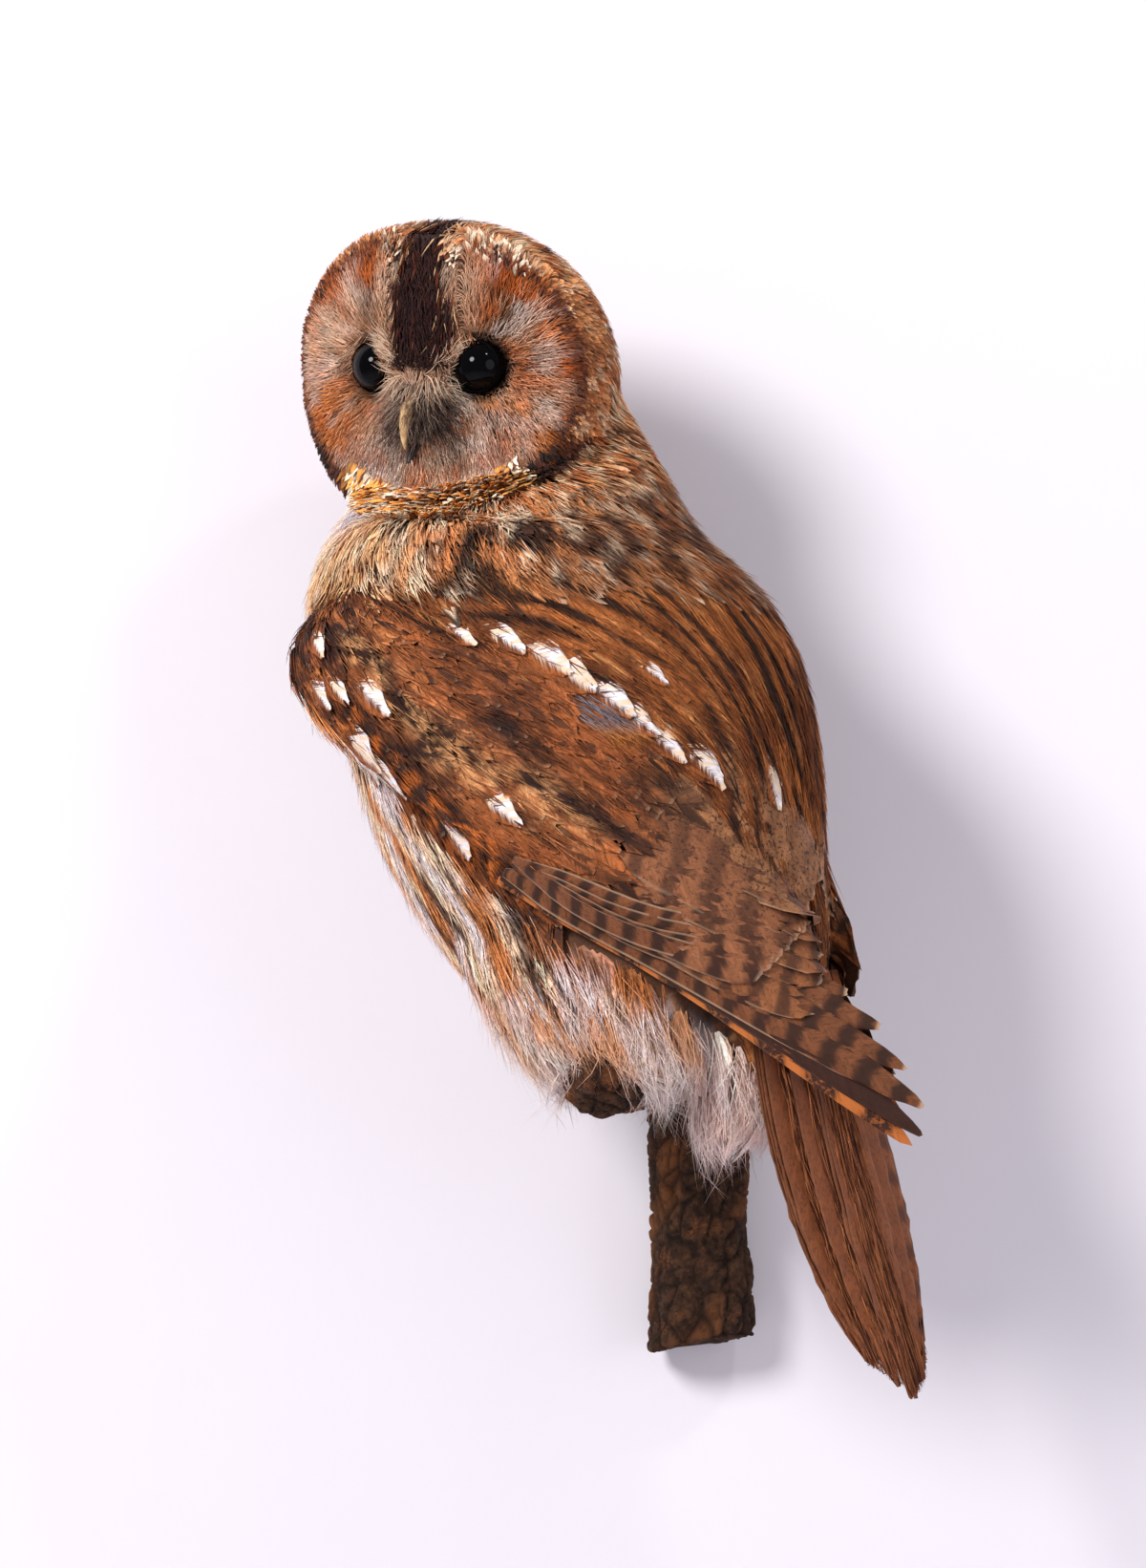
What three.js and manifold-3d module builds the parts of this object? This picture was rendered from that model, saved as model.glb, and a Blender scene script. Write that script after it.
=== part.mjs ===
// A taxidermy tawny owl on a cork-bark branch that hangs flat against a wall.
// Millimetres, +Z up. The wall is the plane Y = 0, and the mount stands out from it towards -Y.
// The bird has a frame of its own: x forward, y to its left, z up, with x = y = 0 between its feet.
import * as THREE from "three";
import { mergeVertices } from "three/addons/utils/BufferGeometryUtils.js";
import Module from "manifold-3d";

const wasm = await Module();
wasm.setup();

// Driving dimensions
const GAP = 0.3; // between pieces that touch
const THIN_CUT = 0.4; // width of the cuts that part head, neck and trunk
const BIRD_AT = [-22, -98]; // the bird's own origin, in the wall's frame
const BIRD_TURN = 160; // degrees from +X to the way the body faces
const PERCH = { z: 35.5, turn: 5.7, radius: 13, end: 52.3, root: -92 }; // along its own, turned y
const POST = { halfWidth: 17.5, halfDepth: 14, axisOut: 11, bottom: -56, top: 66 };
const SAWN = [0.12, -0.1, -1]; // the way the post's sawn lower end faces
const HEAD = { at: [55.5, 0, 244.5], turn: 81.5, pitch: 8, roll: -2 }; // degrees
const SKULL = { front: 43, back: 42, side: 48, up: 46, down: 47, fullness: 2.2, lean: 0.2 };
const FACE = { ridge: 31.5, rim: 15.5, halfWidth: 47, bow: 0.004, dish: 5, dishRadius: 13 };
const EYE = { x: 18.4, y: 18.3, z: 4.1, radius: 8.5 };
const BILL = { base: [22, -3], bow: [38, -6], tip: [34.5, -20], halfWidth: 4.6, depth: 8 };
const CHIN_BILL = { base: [22, -15.5], bow: [30, -18], tip: [33.4, -24], halfWidth: 3.4, depth: 3.8 };
const FOOT = { y: 26, spread: 7.5, toeRadius: 4, clawRadius: 2.3, clawTip: 0.7 };
const TAIL = { halfWidth: 27, droop: 8, thickness: 7, turn: -16 };
const TAIL_LINE = [[-54, 66], [-68, 10], [-92, -59]]; // [x, z] from root to tip
const CHIN_CUT = { at: [54, 0, 212], normal: [0.06, 0.26, 1] };
const COLLAR_CUT = { at: [40, 0, 187], normal: [0, 0, 1] };

// Sections of the trunk from the neck to the vent: the back's and the belly's [x, z], and half the width.
const TRUNK = [
  { back: [-4, 206], belly: [88, 206], half: 42 },
  { back: [-24, 190], belly: [95, 191], half: 52 },
  { back: [-44, 168], belly: [99, 170], half: 58 },
  { back: [-53, 142], belly: [89, 144], half: 60 },
  { back: [-56, 116], belly: [81, 116], half: 58 },
  { back: [-57, 92], belly: [68, 88], half: 52 },
  { back: [-59, 70], belly: [51, 64], half: 43 },
  { back: [-60, 52], belly: [34, 46], half: 32 },
];
// Level sections of the neck, from its foot inside the trunk to its head inside the skull. The face is
// turned to the left, so the neck's own middle moves to the right as it rises.
const NECK = [
  { back: [-29, 172], belly: [90, 172], half: 52, side: 0 },
  { back: [-21, 189], belly: [96, 190], half: 49, side: -3 },
  { back: [-10, 203], belly: [92, 201], half: 42, side: -8 },
  { back: [-3, 214], belly: [89, 212], half: 33, side: -14 },
  { back: [5, 227], belly: [84, 224], half: 28, side: -16 },
  { back: [21, 256], belly: [72, 252], half: 18, side: -15 },
];
// Sections of a leg in its feather trousers: front and back [x, z], half the width and the middle's y.
const LEG = [
  { back: [-34, 96], belly: [52, 92], half: 26, side: 22 },
  { back: [-34, 70], belly: [43, 66], half: 26, side: 24 },
  { back: [-33, 50], belly: [31, 47], half: 23, side: 25 },
  { back: [-30, 28], belly: [17, 28], half: 17, side: 25 },
];
// The under-tail feathers, hanging between the perch and the tail.
const VENT = [
  { back: [-52, 66], belly: [-14, 66], half: 24 },
  { back: [-52, 46], belly: [-19, 44], half: 24 },
  { back: [-48, 28], belly: [-20, 24], half: 20 },
  { back: [-39, 12], belly: [-23, 7], half: 10 },
];
// The folded wing's middle line from the wrist to the tip: [x, y, z], half the width and the thickness.
const WING = [
  { at: [84, 37, 176], half: 14, thick: 9, tilt: 0.1 },
  { at: [74, 51, 166], half: 26, thick: 16, tilt: 0.1 },
  { at: [47, 57, 148], half: 28, thick: 19, tilt: 0.1 },
  { at: [8, 57, 123], half: 28, thick: 18, tilt: 0.25 },
  { at: [-27, 45, 96], half: 26, thick: 15, tilt: 0.5 },
  { at: [-52, 30, 70], half: 18, thick: 9, tilt: 0.65 },
  { at: [-63, 22, 55], half: 10, thick: 5, tilt: 0.65 },
];
const PRIMARIES = [
  { at: [-16, 46, 82], half: 9, thick: 6, tilt: 0.3 },
  { at: [-46, 34, 56], half: 12, thick: 6, tilt: 0.4 },
  { at: [-72, 22, 36], half: 10, thick: 5, tilt: 0.4 },
  { at: [-91, 12, 18], half: 4.5, thick: 3, tilt: 0.4 },
];
const WING_CURL = 62; // radius of the wing's bend round the body
// Where each toe of a foot lies: across the foot, and the angles of toe and claw round the perch.
const TOES = [
  { across: -0.9, toe: [88, 34], claw: [38, -22] },
  { across: 0.5, toe: [88, 28], claw: [32, -28] },
  { across: 1.5, toe: [92, 142], claw: [138, 192] },
  { across: -0.5, toe: [92, 146], claw: [142, 196] },
];

const rad = THREE.MathUtils.degToRad;

// A smooth run through one value of each station, as a function of 0 to 1.
function through(stations, pick) {
  const curve = new THREE.CatmullRomCurve3(
    stations.map((station) => new THREE.Vector3(...pick(station))),
    false,
    "catmullrom",
    0.5,
  );
  return (t) => curve.getPoint(THREE.MathUtils.clamp(t, 0, 1));
}

// A sphere bent into any closed skin: at(turn, along) is the point for turn 0 to 2 pi and along 0 to 1.
function skin(around, lengthwise, at) {
  const sphere = new THREE.SphereGeometry(1, around, lengthwise);
  const { position, uv } = sphere.attributes;
  for (let i = 0; i < position.count; i++) {
    const along = 1 - uv.getY(i);
    const pole = along < 1e-6 || along > 1 - 1e-6;
    const turn = pole ? 0 : uv.getX(i) * 2 * Math.PI;
    position.setXYZ(i, ...at(turn, along));
  }
  sphere.deleteAttribute("normal");
  sphere.deleteAttribute("uv");
  return mergeVertices(sphere, 1e-4);
}

// Geometries joined into one manifold-3d solid, each first swollen by a distance.
function solidOf(geometries, swell = 0) {
  return geometries.map((geometry) => oneSolid(geometry, swell)).reduce((a, b) => a.add(b));
}

function oneSolid(geometry, swell) {
  const bare = new THREE.BufferGeometry();
  bare.setAttribute("position", geometry.attributes.position.clone());
  bare.setIndex(geometry.index.clone());
  const triVerts = bare.index.array;
  const solid = () =>
    new wasm.Manifold(
      new wasm.Mesh({
        numProp: 3,
        vertProperties: new Float32Array(bare.attributes.position.array),
        triVerts: new Uint32Array(triVerts),
      }),
    );
  if (solid().volume() < 0) {
    for (let i = 0; i < triVerts.length; i += 3) {
      [triVerts[i + 1], triVerts[i + 2]] = [triVerts[i + 2], triVerts[i + 1]];
    }
  }
  if (!swell) return solid();
  bare.computeVertexNormals();
  const { position, normal } = bare.attributes;
  for (let i = 0; i < position.count; i++) {
    position.setXYZ(
      i,
      position.getX(i) + swell * normal.getX(i),
      position.getY(i) + swell * normal.getY(i),
      position.getZ(i) + swell * normal.getZ(i),
    );
  }
  return solid();
}

// The largest piece of a solid, without the slivers that a cut can leave.
function largest(solid) {
  return solid.decompose().reduce((a, b) => (a.volume() > b.volume() ? a : b));
}

function geometryOf(solid) {
  const { vertProperties, triVerts, numProp, numVert } = solid.getMesh();
  const position = new Float32Array(numVert * 3);
  for (let i = 0; i < numVert; i++) {
    position.set(vertProperties.subarray(i * numProp, i * numProp + 3), i * 3);
  }
  const geometry = new THREE.BufferGeometry();
  geometry.setAttribute("position", new THREE.BufferAttribute(position, 3));
  geometry.setIndex(new THREE.BufferAttribute(triVerts, 1));
  geometry.computeVertexNormals();
  return geometry;
}

// How wide a closed loft is along its length, 0 at its two ends and 1 between: blunt for a high power.
const blunt = (along, power) => Math.pow(1 - Math.pow(Math.abs(2 * along - 1), power), 1 / power);

const squared = (value, power) => Math.sign(value) * Math.pow(Math.abs(value), power);

// A loft between a back line and a belly line, mirror-equal about its own middle.
function loft(stations, around, lengthwise, power) {
  const back = through(stations, ({ back: [x, z] }) => [x, 0, z]);
  const belly = through(stations, ({ belly: [x, z] }) => [x, 0, z]);
  const sides = through(stations, ({ half, side = 0 }) => [half, side, 0]);
  return skin(around, lengthwise, (turn, along) => {
    const from = back(along);
    const to = belly(along);
    const { x: half, y: side } = sides(along);
    const size = blunt(along, power);
    const deep = to.clone().sub(from);
    const middle = from.clone().add(to).multiplyScalar(0.5);
    const out = deep.multiplyScalar(0.5 * squared(Math.cos(turn), 0.9) * size);
    const y = side + squared(Math.sin(turn), 0.9) * half * size;
    return [middle.x + out.x, y, middle.z + out.z];
  });
}

// A folded wing, or the bundle of its primaries: a lens that bends round the body. side is 1 for left.
function feathered(stations, side, around, lengthwise) {
  const line = through(stations, ({ at }) => at);
  const sizes = through(stations, ({ half, thick, tilt }) => [half, thick, tilt]);
  const step = 0.02;
  return skin(around, lengthwise, (turn, along) => {
    const middle = line(along);
    const ahead = line(along + step).sub(line(along - step));
    const { x: half, y: thick, z: tilt } = sizes(along);
    const across = new THREE.Vector3(-ahead.z, tilt * ahead.length(), ahead.x).normalize();
    const size = blunt(along, 4);
    const reach = Math.cos(turn) * half * size;
    const lift = (Math.sin(turn) * thick * size) / 2 - (reach * reach) / (2 * WING_CURL);
    const point = middle.addScaledVector(across, reach);
    return [point.x, side * (point.y + lift), point.z];
  });
}

// A bowed cone such as a mandible, from its base through its bow to its tip, in the head's own x and z.
function mandible({ base, bow, tip, halfWidth, depth }) {
  const line = new THREE.QuadraticBezierCurve3(
    new THREE.Vector3(base[0], 0, base[1]),
    new THREE.Vector3(bow[0], 0, bow[1]),
    new THREE.Vector3(tip[0], 0, tip[1]),
  );
  return skin(9, 8, (turn, along) => {
    const middle = line.getPoint(along);
    const ahead = line.getTangent(along);
    const taper = blunt(Math.min(along * 0.5 + 0.02, 0.5), 2) * Math.pow(1 - along, 0.6);
    const reach = (Math.cos(turn) * depth * taper) / 2;
    const wide = Math.sin(turn) * halfWidth * taper;
    return [middle.x - ahead.z * reach, wide, middle.z + ahead.x * reach];
  });
}

// The head in its own frame: a full round skull whose front is a wedge with a dish round each eye.
function skullPoint(turn, along) {
  const polar = along * Math.PI;
  const unit = [
    Math.sin(polar) * Math.cos(turn),
    Math.sin(polar) * Math.sin(turn),
    Math.cos(polar),
  ];
  const sizes = [
    unit[0] > 0 ? SKULL.front : SKULL.back,
    SKULL.side,
    unit[2] > 0 ? SKULL.up : SKULL.down,
  ];
  const power = SKULL.fullness;
  const sum = unit.reduce((total, u, i) => total + Math.pow(Math.abs(u) / sizes[i], power), 0);
  const [deep, y, z] = unit.map((u) => u * Math.pow(sum, -1 / power));
  const x = deep + SKULL.lean * Math.max(z, 0);
  if (x <= 0) return [x, y, z];
  const wedge = (FACE.ridge - FACE.rim) * (Math.abs(y) / FACE.halfWidth) + FACE.bow * z * z;
  const fromEye = Math.hypot(Math.abs(y) - EYE.y - 2, z - EYE.z) / FACE.dishRadius;
  const face = FACE.ridge - wedge - FACE.dish * Math.exp(-0.5 * fromEye * fromEye);
  const sharp = 7;
  return [Math.pow(Math.pow(x, -sharp) + Math.pow(face, -sharp), -1 / sharp), y, z];
}

// Part of a toe or claw, bent round the perch from one angle to another at a height above the bark.
function roundPerch(y, [from, to], height, radiusAt) {
  return skin(6, 5, (turn, along) => {
    const angle = rad(THREE.MathUtils.lerp(from, to, along));
    const radius = radiusAt(along) * blunt(along, 3);
    const out = PERCH.radius + height(along) + Math.cos(turn) * radius;
    return [
      Math.cos(angle) * out,
      y + Math.sin(turn) * radius,
      Math.sin(angle) * out,
    ];
  });
}

const clawOf = (side, { across, claw }) =>
  roundPerch(
    side * (FOOT.y + across * FOOT.spread),
    claw,
    (along) => THREE.MathUtils.lerp(FOOT.toeRadius + 1.2, FOOT.clawTip + 2.4, along),
    (along) => THREE.MathUtils.lerp(FOOT.clawRadius, FOOT.clawTip, along),
  );

function footOf(side) {
  const toes = TOES.map(({ across, toe }) =>
    roundPerch(
      side * (FOOT.y + across * FOOT.spread),
      toe,
      () => FOOT.toeRadius + 0.8,
      () => FOOT.toeRadius,
    ),
  );
  const ankle = new THREE.SphereGeometry(1, 8, 5);
  ankle.scale(9, 11, 6);
  ankle.translate(0, side * (FOOT.y + 1.5), PERCH.radius + 6.5);
  return [welded(ankle), ...toes];
}

// The perch, a round stub of bark along its own y, and rough by a few slow waves.
function perchOf() {
  const bark = (turn, y) =>
    0.5 * Math.sin(3 * turn + y / 9) + 0.4 * Math.sin(5 * turn - y / 5) - 0.4;
  return skin(12, 12, (turn, along) => {
    const y = THREE.MathUtils.lerp(PERCH.root, PERCH.end, along);
    const radius = (PERCH.radius + bark(turn, y)) * blunt(along, 14);
    return [Math.cos(turn) * radius, y, Math.sin(turn) * radius];
  });
}

// The whole round log that the post is the front half of, in the wall's frame.
function logOf() {
  const plates = (turn, z) =>
    0.9 * Math.sin(2 * turn + z / 13) + 0.8 * Math.sin(5 * turn - z / 7) * Math.sin(z / 11);
  return skin(16, 13, (turn, along) => {
    const z = THREE.MathUtils.lerp(POST.bottom - 12, POST.top + 6, along);
    const size = blunt(along, 16);
    const rough = plates(turn, z) - 0.8;
    const x = Math.cos(turn) * (POST.halfWidth + rough) * size;
    const y = -POST.axisOut + Math.sin(turn) * (POST.halfDepth + rough) * size;
    return [x, y, z];
  });
}

// The tail: a stack of feathers like a shallow roof, its edges further forward than its middle.
function tailOf() {
  const points = TAIL_LINE.map(([x, z]) => new THREE.Vector3(x, 0, z));
  const line = new THREE.QuadraticBezierCurve3(...points);
  return skin(12, 10, (around, along) => {
    const middle = line.getPoint(along);
    const ahead = line.getTangent(along);
    const size = blunt(along, 9);
    const fan = 0.82 + 0.18 * Math.sin(along * Math.PI * 0.9);
    const half = TAIL.halfWidth * fan - 10 * along * along;
    const across = squared(Math.cos(around), 0.85) * half * size;
    const roof = TAIL.droop * Math.pow(across / TAIL.halfWidth, 2);
    const thick = THREE.MathUtils.lerp(TAIL.thickness, 3, along) / 2;
    const lift = squared(Math.sin(around), 0.85) * thick * size + roof;
    const x = middle.x - ahead.z * lift - TAIL_LINE[0][0];
    const turn = rad(TAIL.turn);
    return [
      TAIL_LINE[0][0] + x * Math.cos(turn) - across * Math.sin(turn),
      x * Math.sin(turn) + across * Math.cos(turn),
      middle.z + ahead.x * lift,
    ];
  });
}

// A great block on one side of the plane through a point, to cut with.
function beyond(point, normal) {
  const size = 600;
  const block = new THREE.BoxGeometry(size, size, size);
  const turned = new THREE.Quaternion().setFromUnitVectors(
    new THREE.Vector3(0, 0, 1),
    new THREE.Vector3(...normal).normalize(),
  );
  block.translate(0, 0, size / 2).applyQuaternion(turned).translate(...point);
  return welded(block);
}

function welded(geometry) {
  geometry.deleteAttribute("normal");
  geometry.deleteAttribute("uv");
  return mergeVertices(geometry, 1e-4);
}

const eyeOf = (side) => {
  const ball = new THREE.SphereGeometry(EYE.radius, 12, 8);
  ball.translate(EYE.x, side * EYE.y, EYE.z);
  return welded(ball);
};

// Everything is brought to the wall's frame: the bird by one turn and move, the head by its own first.
const birdPlace = new THREE.Matrix4()
  .makeTranslation(...BIRD_AT, 0)
  .multiply(new THREE.Matrix4().makeRotationZ(rad(BIRD_TURN)));
const headPlace = birdPlace
  .clone()
  .multiply(new THREE.Matrix4().makeTranslation(...HEAD.at))
  .multiply(new THREE.Matrix4().makeRotationZ(rad(HEAD.turn)))
  .multiply(new THREE.Matrix4().makeRotationY(rad(HEAD.pitch)))
  .multiply(new THREE.Matrix4().makeRotationX(rad(HEAD.roll)));
const onBird = (...geometries) => geometries.map((geometry) => geometry.applyMatrix4(birdPlace));
const perchPlace = birdPlace
  .clone()
  .multiply(new THREE.Matrix4().makeTranslation(0, 0, PERCH.z))
  .multiply(new THREE.Matrix4().makeRotationZ(rad(PERCH.turn)));
const onPerch = (...geometries) => geometries.map((geometry) => geometry.applyMatrix4(perchPlace));
const onHead = (...geometries) => geometries.map((geometry) => geometry.applyMatrix4(headPlace));

// Each piece is cut back, by a gap, from every piece before it.
const cutters = [];
const pieces = {};
function add(name, geometries) {
  const solid = cutters.reduce((rest, cutter) => rest.subtract(cutter), solidOf(geometries));
  pieces[name] = largest(solid);
  cutters.push(solidOf(geometries, GAP * 1.2));
}

const sides = [["left", 1], ["right", -1]];
const behindWall = solidOf([beyond([0, 0, 0], [0, 1, 0])]);
const log = logOf();
const sawnOff = solidOf([beyond([0, 0, POST.bottom], SAWN), beyond([0, 0, POST.top], [0, 0, 1])]);
pieces.post = largest(solidOf([log]).subtract(behindWall).subtract(sawnOff));
cutters.push(solidOf([log], GAP * 1.2));
add("perch", onPerch(perchOf()));
for (const [word, side] of sides) add(`eye_${word}`, onHead(eyeOf(side)));
add("bill_upper", onHead(mandible(BILL)));
add("bill_lower", onHead(mandible(CHIN_BILL)));
for (const [word, side] of sides) {
  add(`foot_${word}`, onPerch(...footOf(side)));
  TOES.forEach((toe, i) => add(`claw_${word}_${i + 1}`, onPerch(clawOf(side, toe))));
}

// The trunk, neck and head are one body, parted by two thin cuts.
const flesh = [
  ...onBird(loft(TRUNK, 24, 12, 7), loft(NECK, 18, 9, 9)),
  ...onHead(skin(24, 18, skullPoint)),
];
const whole = cutters.reduce((rest, cutter) => rest.subtract(cutter), solidOf(flesh));
const parted = ({ at: [x, y, z], normal }, by) =>
  solidOf(onBird(beyond([x, y, z + by], normal)));
pieces.head = largest(whole.intersect(parted(CHIN_CUT, THIN_CUT / 2)));
pieces.neck = largest(
  whole.subtract(parted(CHIN_CUT, -THIN_CUT / 2)).intersect(parted(COLLAR_CUT, THIN_CUT / 2)),
);
pieces.trunk = largest(whole.subtract(parted(COLLAR_CUT, -THIN_CUT / 2)));
cutters.push(solidOf(flesh, GAP * 1.2));

add("tail", onBird(tailOf()));
for (const [word, side] of sides) {
  add(`wing_${word}`, onBird(feathered(WING, side, 12, 13)));
  add(`primaries_${word}`, onBird(feathered(PRIMARIES, side, 8, 9)));
}
add("vent", onBird(loft(VENT, 12, 7, 4)));
for (const [word, side] of sides) {
  const stations = LEG.map((station) => ({ ...station, side: side * station.side }));
  add(`leg_${word}`, onBird(loft(stations, 12, 7, 5)));
}

const finish = (color, roughness) =>
  new THREE.MeshStandardMaterial({ color, roughness, metalness: 0 });
const materials = {
  plumage: finish(0x8a5530, 0.9),
  pale: finish(0xd9c0a0, 0.9),
  horn: finish(0xc9b46a, 0.35),
  claw: finish(0x2a2220, 0.3),
  eye: finish(0x05060a, 0.05),
  bark: finish(0x4a3020, 0.95),
};
const made = [
  [/^(post|perch)$/, materials.bark],
  [/^bill/, materials.horn],
  [/^claw/, materials.claw],
  [/^eye/, materials.eye],
  [/^(leg|foot|vent)/, materials.pale],
  [/./, materials.plumage],
];

const owl = new THREE.Group();
for (const [name, solid] of Object.entries(pieces)) {
  const [, material] = made.find(([pattern]) => pattern.test(name));
  const mesh = new THREE.Mesh(geometryOf(solid), material);
  mesh.name = name;
  owl.add(mesh);
}

export default owl;
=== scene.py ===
import math

import bpy
import numpy as np
from mathutils import Matrix, Vector, noise
from mathutils.bvhtree import BVHTree


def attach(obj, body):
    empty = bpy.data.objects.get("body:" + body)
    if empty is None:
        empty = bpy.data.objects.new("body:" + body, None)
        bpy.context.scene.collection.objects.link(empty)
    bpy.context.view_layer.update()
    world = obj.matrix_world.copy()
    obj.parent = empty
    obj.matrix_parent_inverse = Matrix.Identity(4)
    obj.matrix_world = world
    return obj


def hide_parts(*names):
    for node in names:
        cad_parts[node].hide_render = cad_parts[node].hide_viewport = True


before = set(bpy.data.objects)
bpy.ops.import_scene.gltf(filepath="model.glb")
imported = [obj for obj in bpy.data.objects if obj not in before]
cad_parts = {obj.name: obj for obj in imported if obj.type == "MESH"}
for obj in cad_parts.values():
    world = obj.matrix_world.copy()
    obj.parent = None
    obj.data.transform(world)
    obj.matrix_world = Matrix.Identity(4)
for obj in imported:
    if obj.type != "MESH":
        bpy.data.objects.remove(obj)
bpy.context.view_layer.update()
rng = np.random.default_rng(11)

# ---------------------------------------------------------------- frames
# Shapes are worked out in millimetres in the bird's own frame: x forward, y to its left, z up.
MM = 0.001


def turn(axis, degrees):
    return np.array(Matrix.Rotation(math.radians(degrees), 3, axis))


BIRD = turn("Z", 160)
BIRD_AT = np.array([-22.0, -98.0, 0.0])
HEAD = turn("Z", 81.5) @ turn("Y", 8) @ turn("X", -2)
HEAD_AT = np.array([55.5, 0.0, 244.5])
EYE = np.array([18.4, 17.4, 4.1])
EYE_RADIUS = 7.9
CROWN_LINE = 1.5  # y of the middle of the crown's dark stripe, in the head's frame


def from_world(points):
    return (points / MM - BIRD_AT) @ BIRD


def to_world(points):
    return (points @ BIRD.T + BIRD_AT) * MM


def to_head(points):
    return (points - HEAD_AT) @ HEAD


def from_head(points):
    return points @ HEAD.T + HEAD_AT


def unit(v):
    return v / np.maximum(np.linalg.norm(v, axis=-1, keepdims=True), 1e-9)


def smooth(low, high, x):
    t = np.clip((x - low) / (high - low), 0, 1)
    return t * t * (3 - 2 * t)


def bump(x, middle, width):
    """1 where x is at middle, falling off smoothly to 0 beyond the width."""
    return np.exp(-(((x - middle) / width) ** 2))


def srgb(*rgb):
    c = np.array(rgb, float) / 255
    return np.where(c <= 0.04045, c / 12.92, ((c + 0.055) / 1.055) ** 2.4)


def blend(a, b, t):
    t = np.asarray(t)[..., None]
    return a * (1 - t) + b * t


def layered(tint, *coats):
    """A colour with others laid over it in turn, each given as (colour, how much of it)."""
    for colour, share in coats:
        tint = blend(tint, colour, share)
    return tint


def columns(*parts):
    """Vectors from three columns, some of which may be plain numbers."""
    return np.stack(np.broadcast_arrays(*parts), 1)


def by_head(rule):
    """A rule for points in the head's frame, made to take points in the bird's."""
    return lambda points: rule(to_head(points))


def ramp(measure, xs, ys):
    """A rule that runs through ys as measure(points) runs through xs."""
    return lambda points: np.interp(measure(points), xs, ys)


# ---------------------------------------------------------------- meshes
def node_arrays(names):
    """The vertices (bird frame) and triangles of several CAD nodes, as one mesh."""
    points, faces, start = [], [], 0
    for name in names:
        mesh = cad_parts[name].data
        co = np.zeros(len(mesh.vertices) * 3)
        mesh.vertices.foreach_get("co", co)
        mesh.calc_loop_triangles()
        tri = np.zeros(len(mesh.loop_triangles) * 3, int)
        mesh.loop_triangles.foreach_get("vertices", tri)
        points.append(from_world(co.reshape(-1, 3)))
        faces.append(tri.reshape(-1, 3) + start)
        start += len(points[-1])
    return np.concatenate(points), np.concatenate(faces)


def new_mesh(name, points, faces, maps=None, colours=None):
    """A mesh: points in the bird frame, faces all of one size, maps and colours with one value a point."""
    faces = np.asarray(faces)
    mesh = bpy.data.meshes.new(name)
    mesh.vertices.add(len(points))
    mesh.vertices.foreach_set("co", to_world(points).astype(np.float32).ravel())
    mesh.loops.add(faces.size)
    mesh.loops.foreach_set("vertex_index", faces.astype(np.int32).ravel())
    mesh.polygons.add(len(faces))
    mesh.polygons.foreach_set("loop_start", np.arange(0, faces.size, faces.shape[1], dtype=np.int32))
    mesh.polygons.foreach_set("use_smooth", np.full(len(faces), True))
    mesh.update(calc_edges=True)
    for layer, values in (maps or {}).items():
        uv = mesh.uv_layers.new(name=layer)
        uv.data.foreach_set("uv", values[faces.ravel()].astype(np.float32).ravel())
    for layer, values in (colours or {}).items():
        colour = mesh.color_attributes.new(layer, "FLOAT_COLOR", "POINT")
        colour.data.foreach_set("color", values.astype(np.float32).ravel())
    thing = bpy.data.objects.new(name, mesh)
    bpy.context.scene.collection.objects.link(thing)
    return thing


def opaque(tint):
    return np.column_stack([np.clip(tint, 0, 1), np.ones(len(tint))])


def remeshed(names, voxel, rounds, grow=0.0):
    """One closed surface of quads round some CAD nodes: swollen to close cuts, remeshed and smoothed."""
    thing = new_mesh("form", *node_arrays(names))
    if grow:
        swell = thing.modifiers.new("swell", "DISPLACE")
        swell.strength = grow * MM
        swell.mid_level = 0
    remesh = thing.modifiers.new("remesh", "REMESH")
    remesh.mode = "VOXEL"
    remesh.voxel_size = voxel * MM
    even = thing.modifiers.new("even", "SMOOTH")
    even.factor = 0.5
    even.iterations = rounds
    made = thing.evaluated_get(bpy.context.evaluated_depsgraph_get()).to_mesh()
    co = np.zeros(len(made.vertices) * 3)
    made.vertices.foreach_get("co", co)
    faces = np.array([tuple(p.vertices) for p in made.polygons if len(p.vertices) == 4])
    points = from_world(co.reshape(-1, 3))
    bpy.data.objects.remove(thing)
    return points, faces


def point_normals(points, faces):
    """The normals of the points and of the quads."""
    a, b, c, d = (points[faces[:, i]] for i in range(4))
    flat = np.cross(c - a, d - b)
    total = np.zeros_like(points)
    for i in range(4):
        np.add.at(total, faces[:, i], flat)
    return unit(total), unit(flat)


def lattice_noise(points, size, seed=0.0):
    """Smooth value noise from 0 to 1 at each point; size is the width of its cells, one number or three."""
    q = points / np.asarray(size, float) + seed * 17.31
    cell = np.floor(q)
    f = q - cell
    f = f * f * (3 - 2 * f)
    total = np.zeros(len(points))
    for corner in np.ndindex(2, 2, 2):
        at = cell + corner
        spin = np.sin(at @ np.array([127.1, 311.7, 74.7])) * 43758.5453
        weight = np.prod(np.where(corner, f, 1 - f), axis=1)
        total += weight * (spin - np.floor(spin))
    return total


# ---------------------------------------------------------------- the body's form and its lie of feathers
FLESH = ["trunk", "neck", "head", "vent"]
for word in ("left", "right"):
    FLESH += ["wing_" + word, "leg_" + word, "foot_" + word]
BUNDLES = ["primaries_left", "primaries_right"]
form, form_faces = remeshed(FLESH, 2.0, 8, grow=0.5)
reach, reach_faces = remeshed(FLESH + BUNDLES, 2.0, 3, grow=0.4)
reach_normals, reach_flats = point_normals(reach, reach_faces)
reach_tree = BVHTree.FromPolygons(reach.tolist(), reach_faces.tolist())

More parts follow.
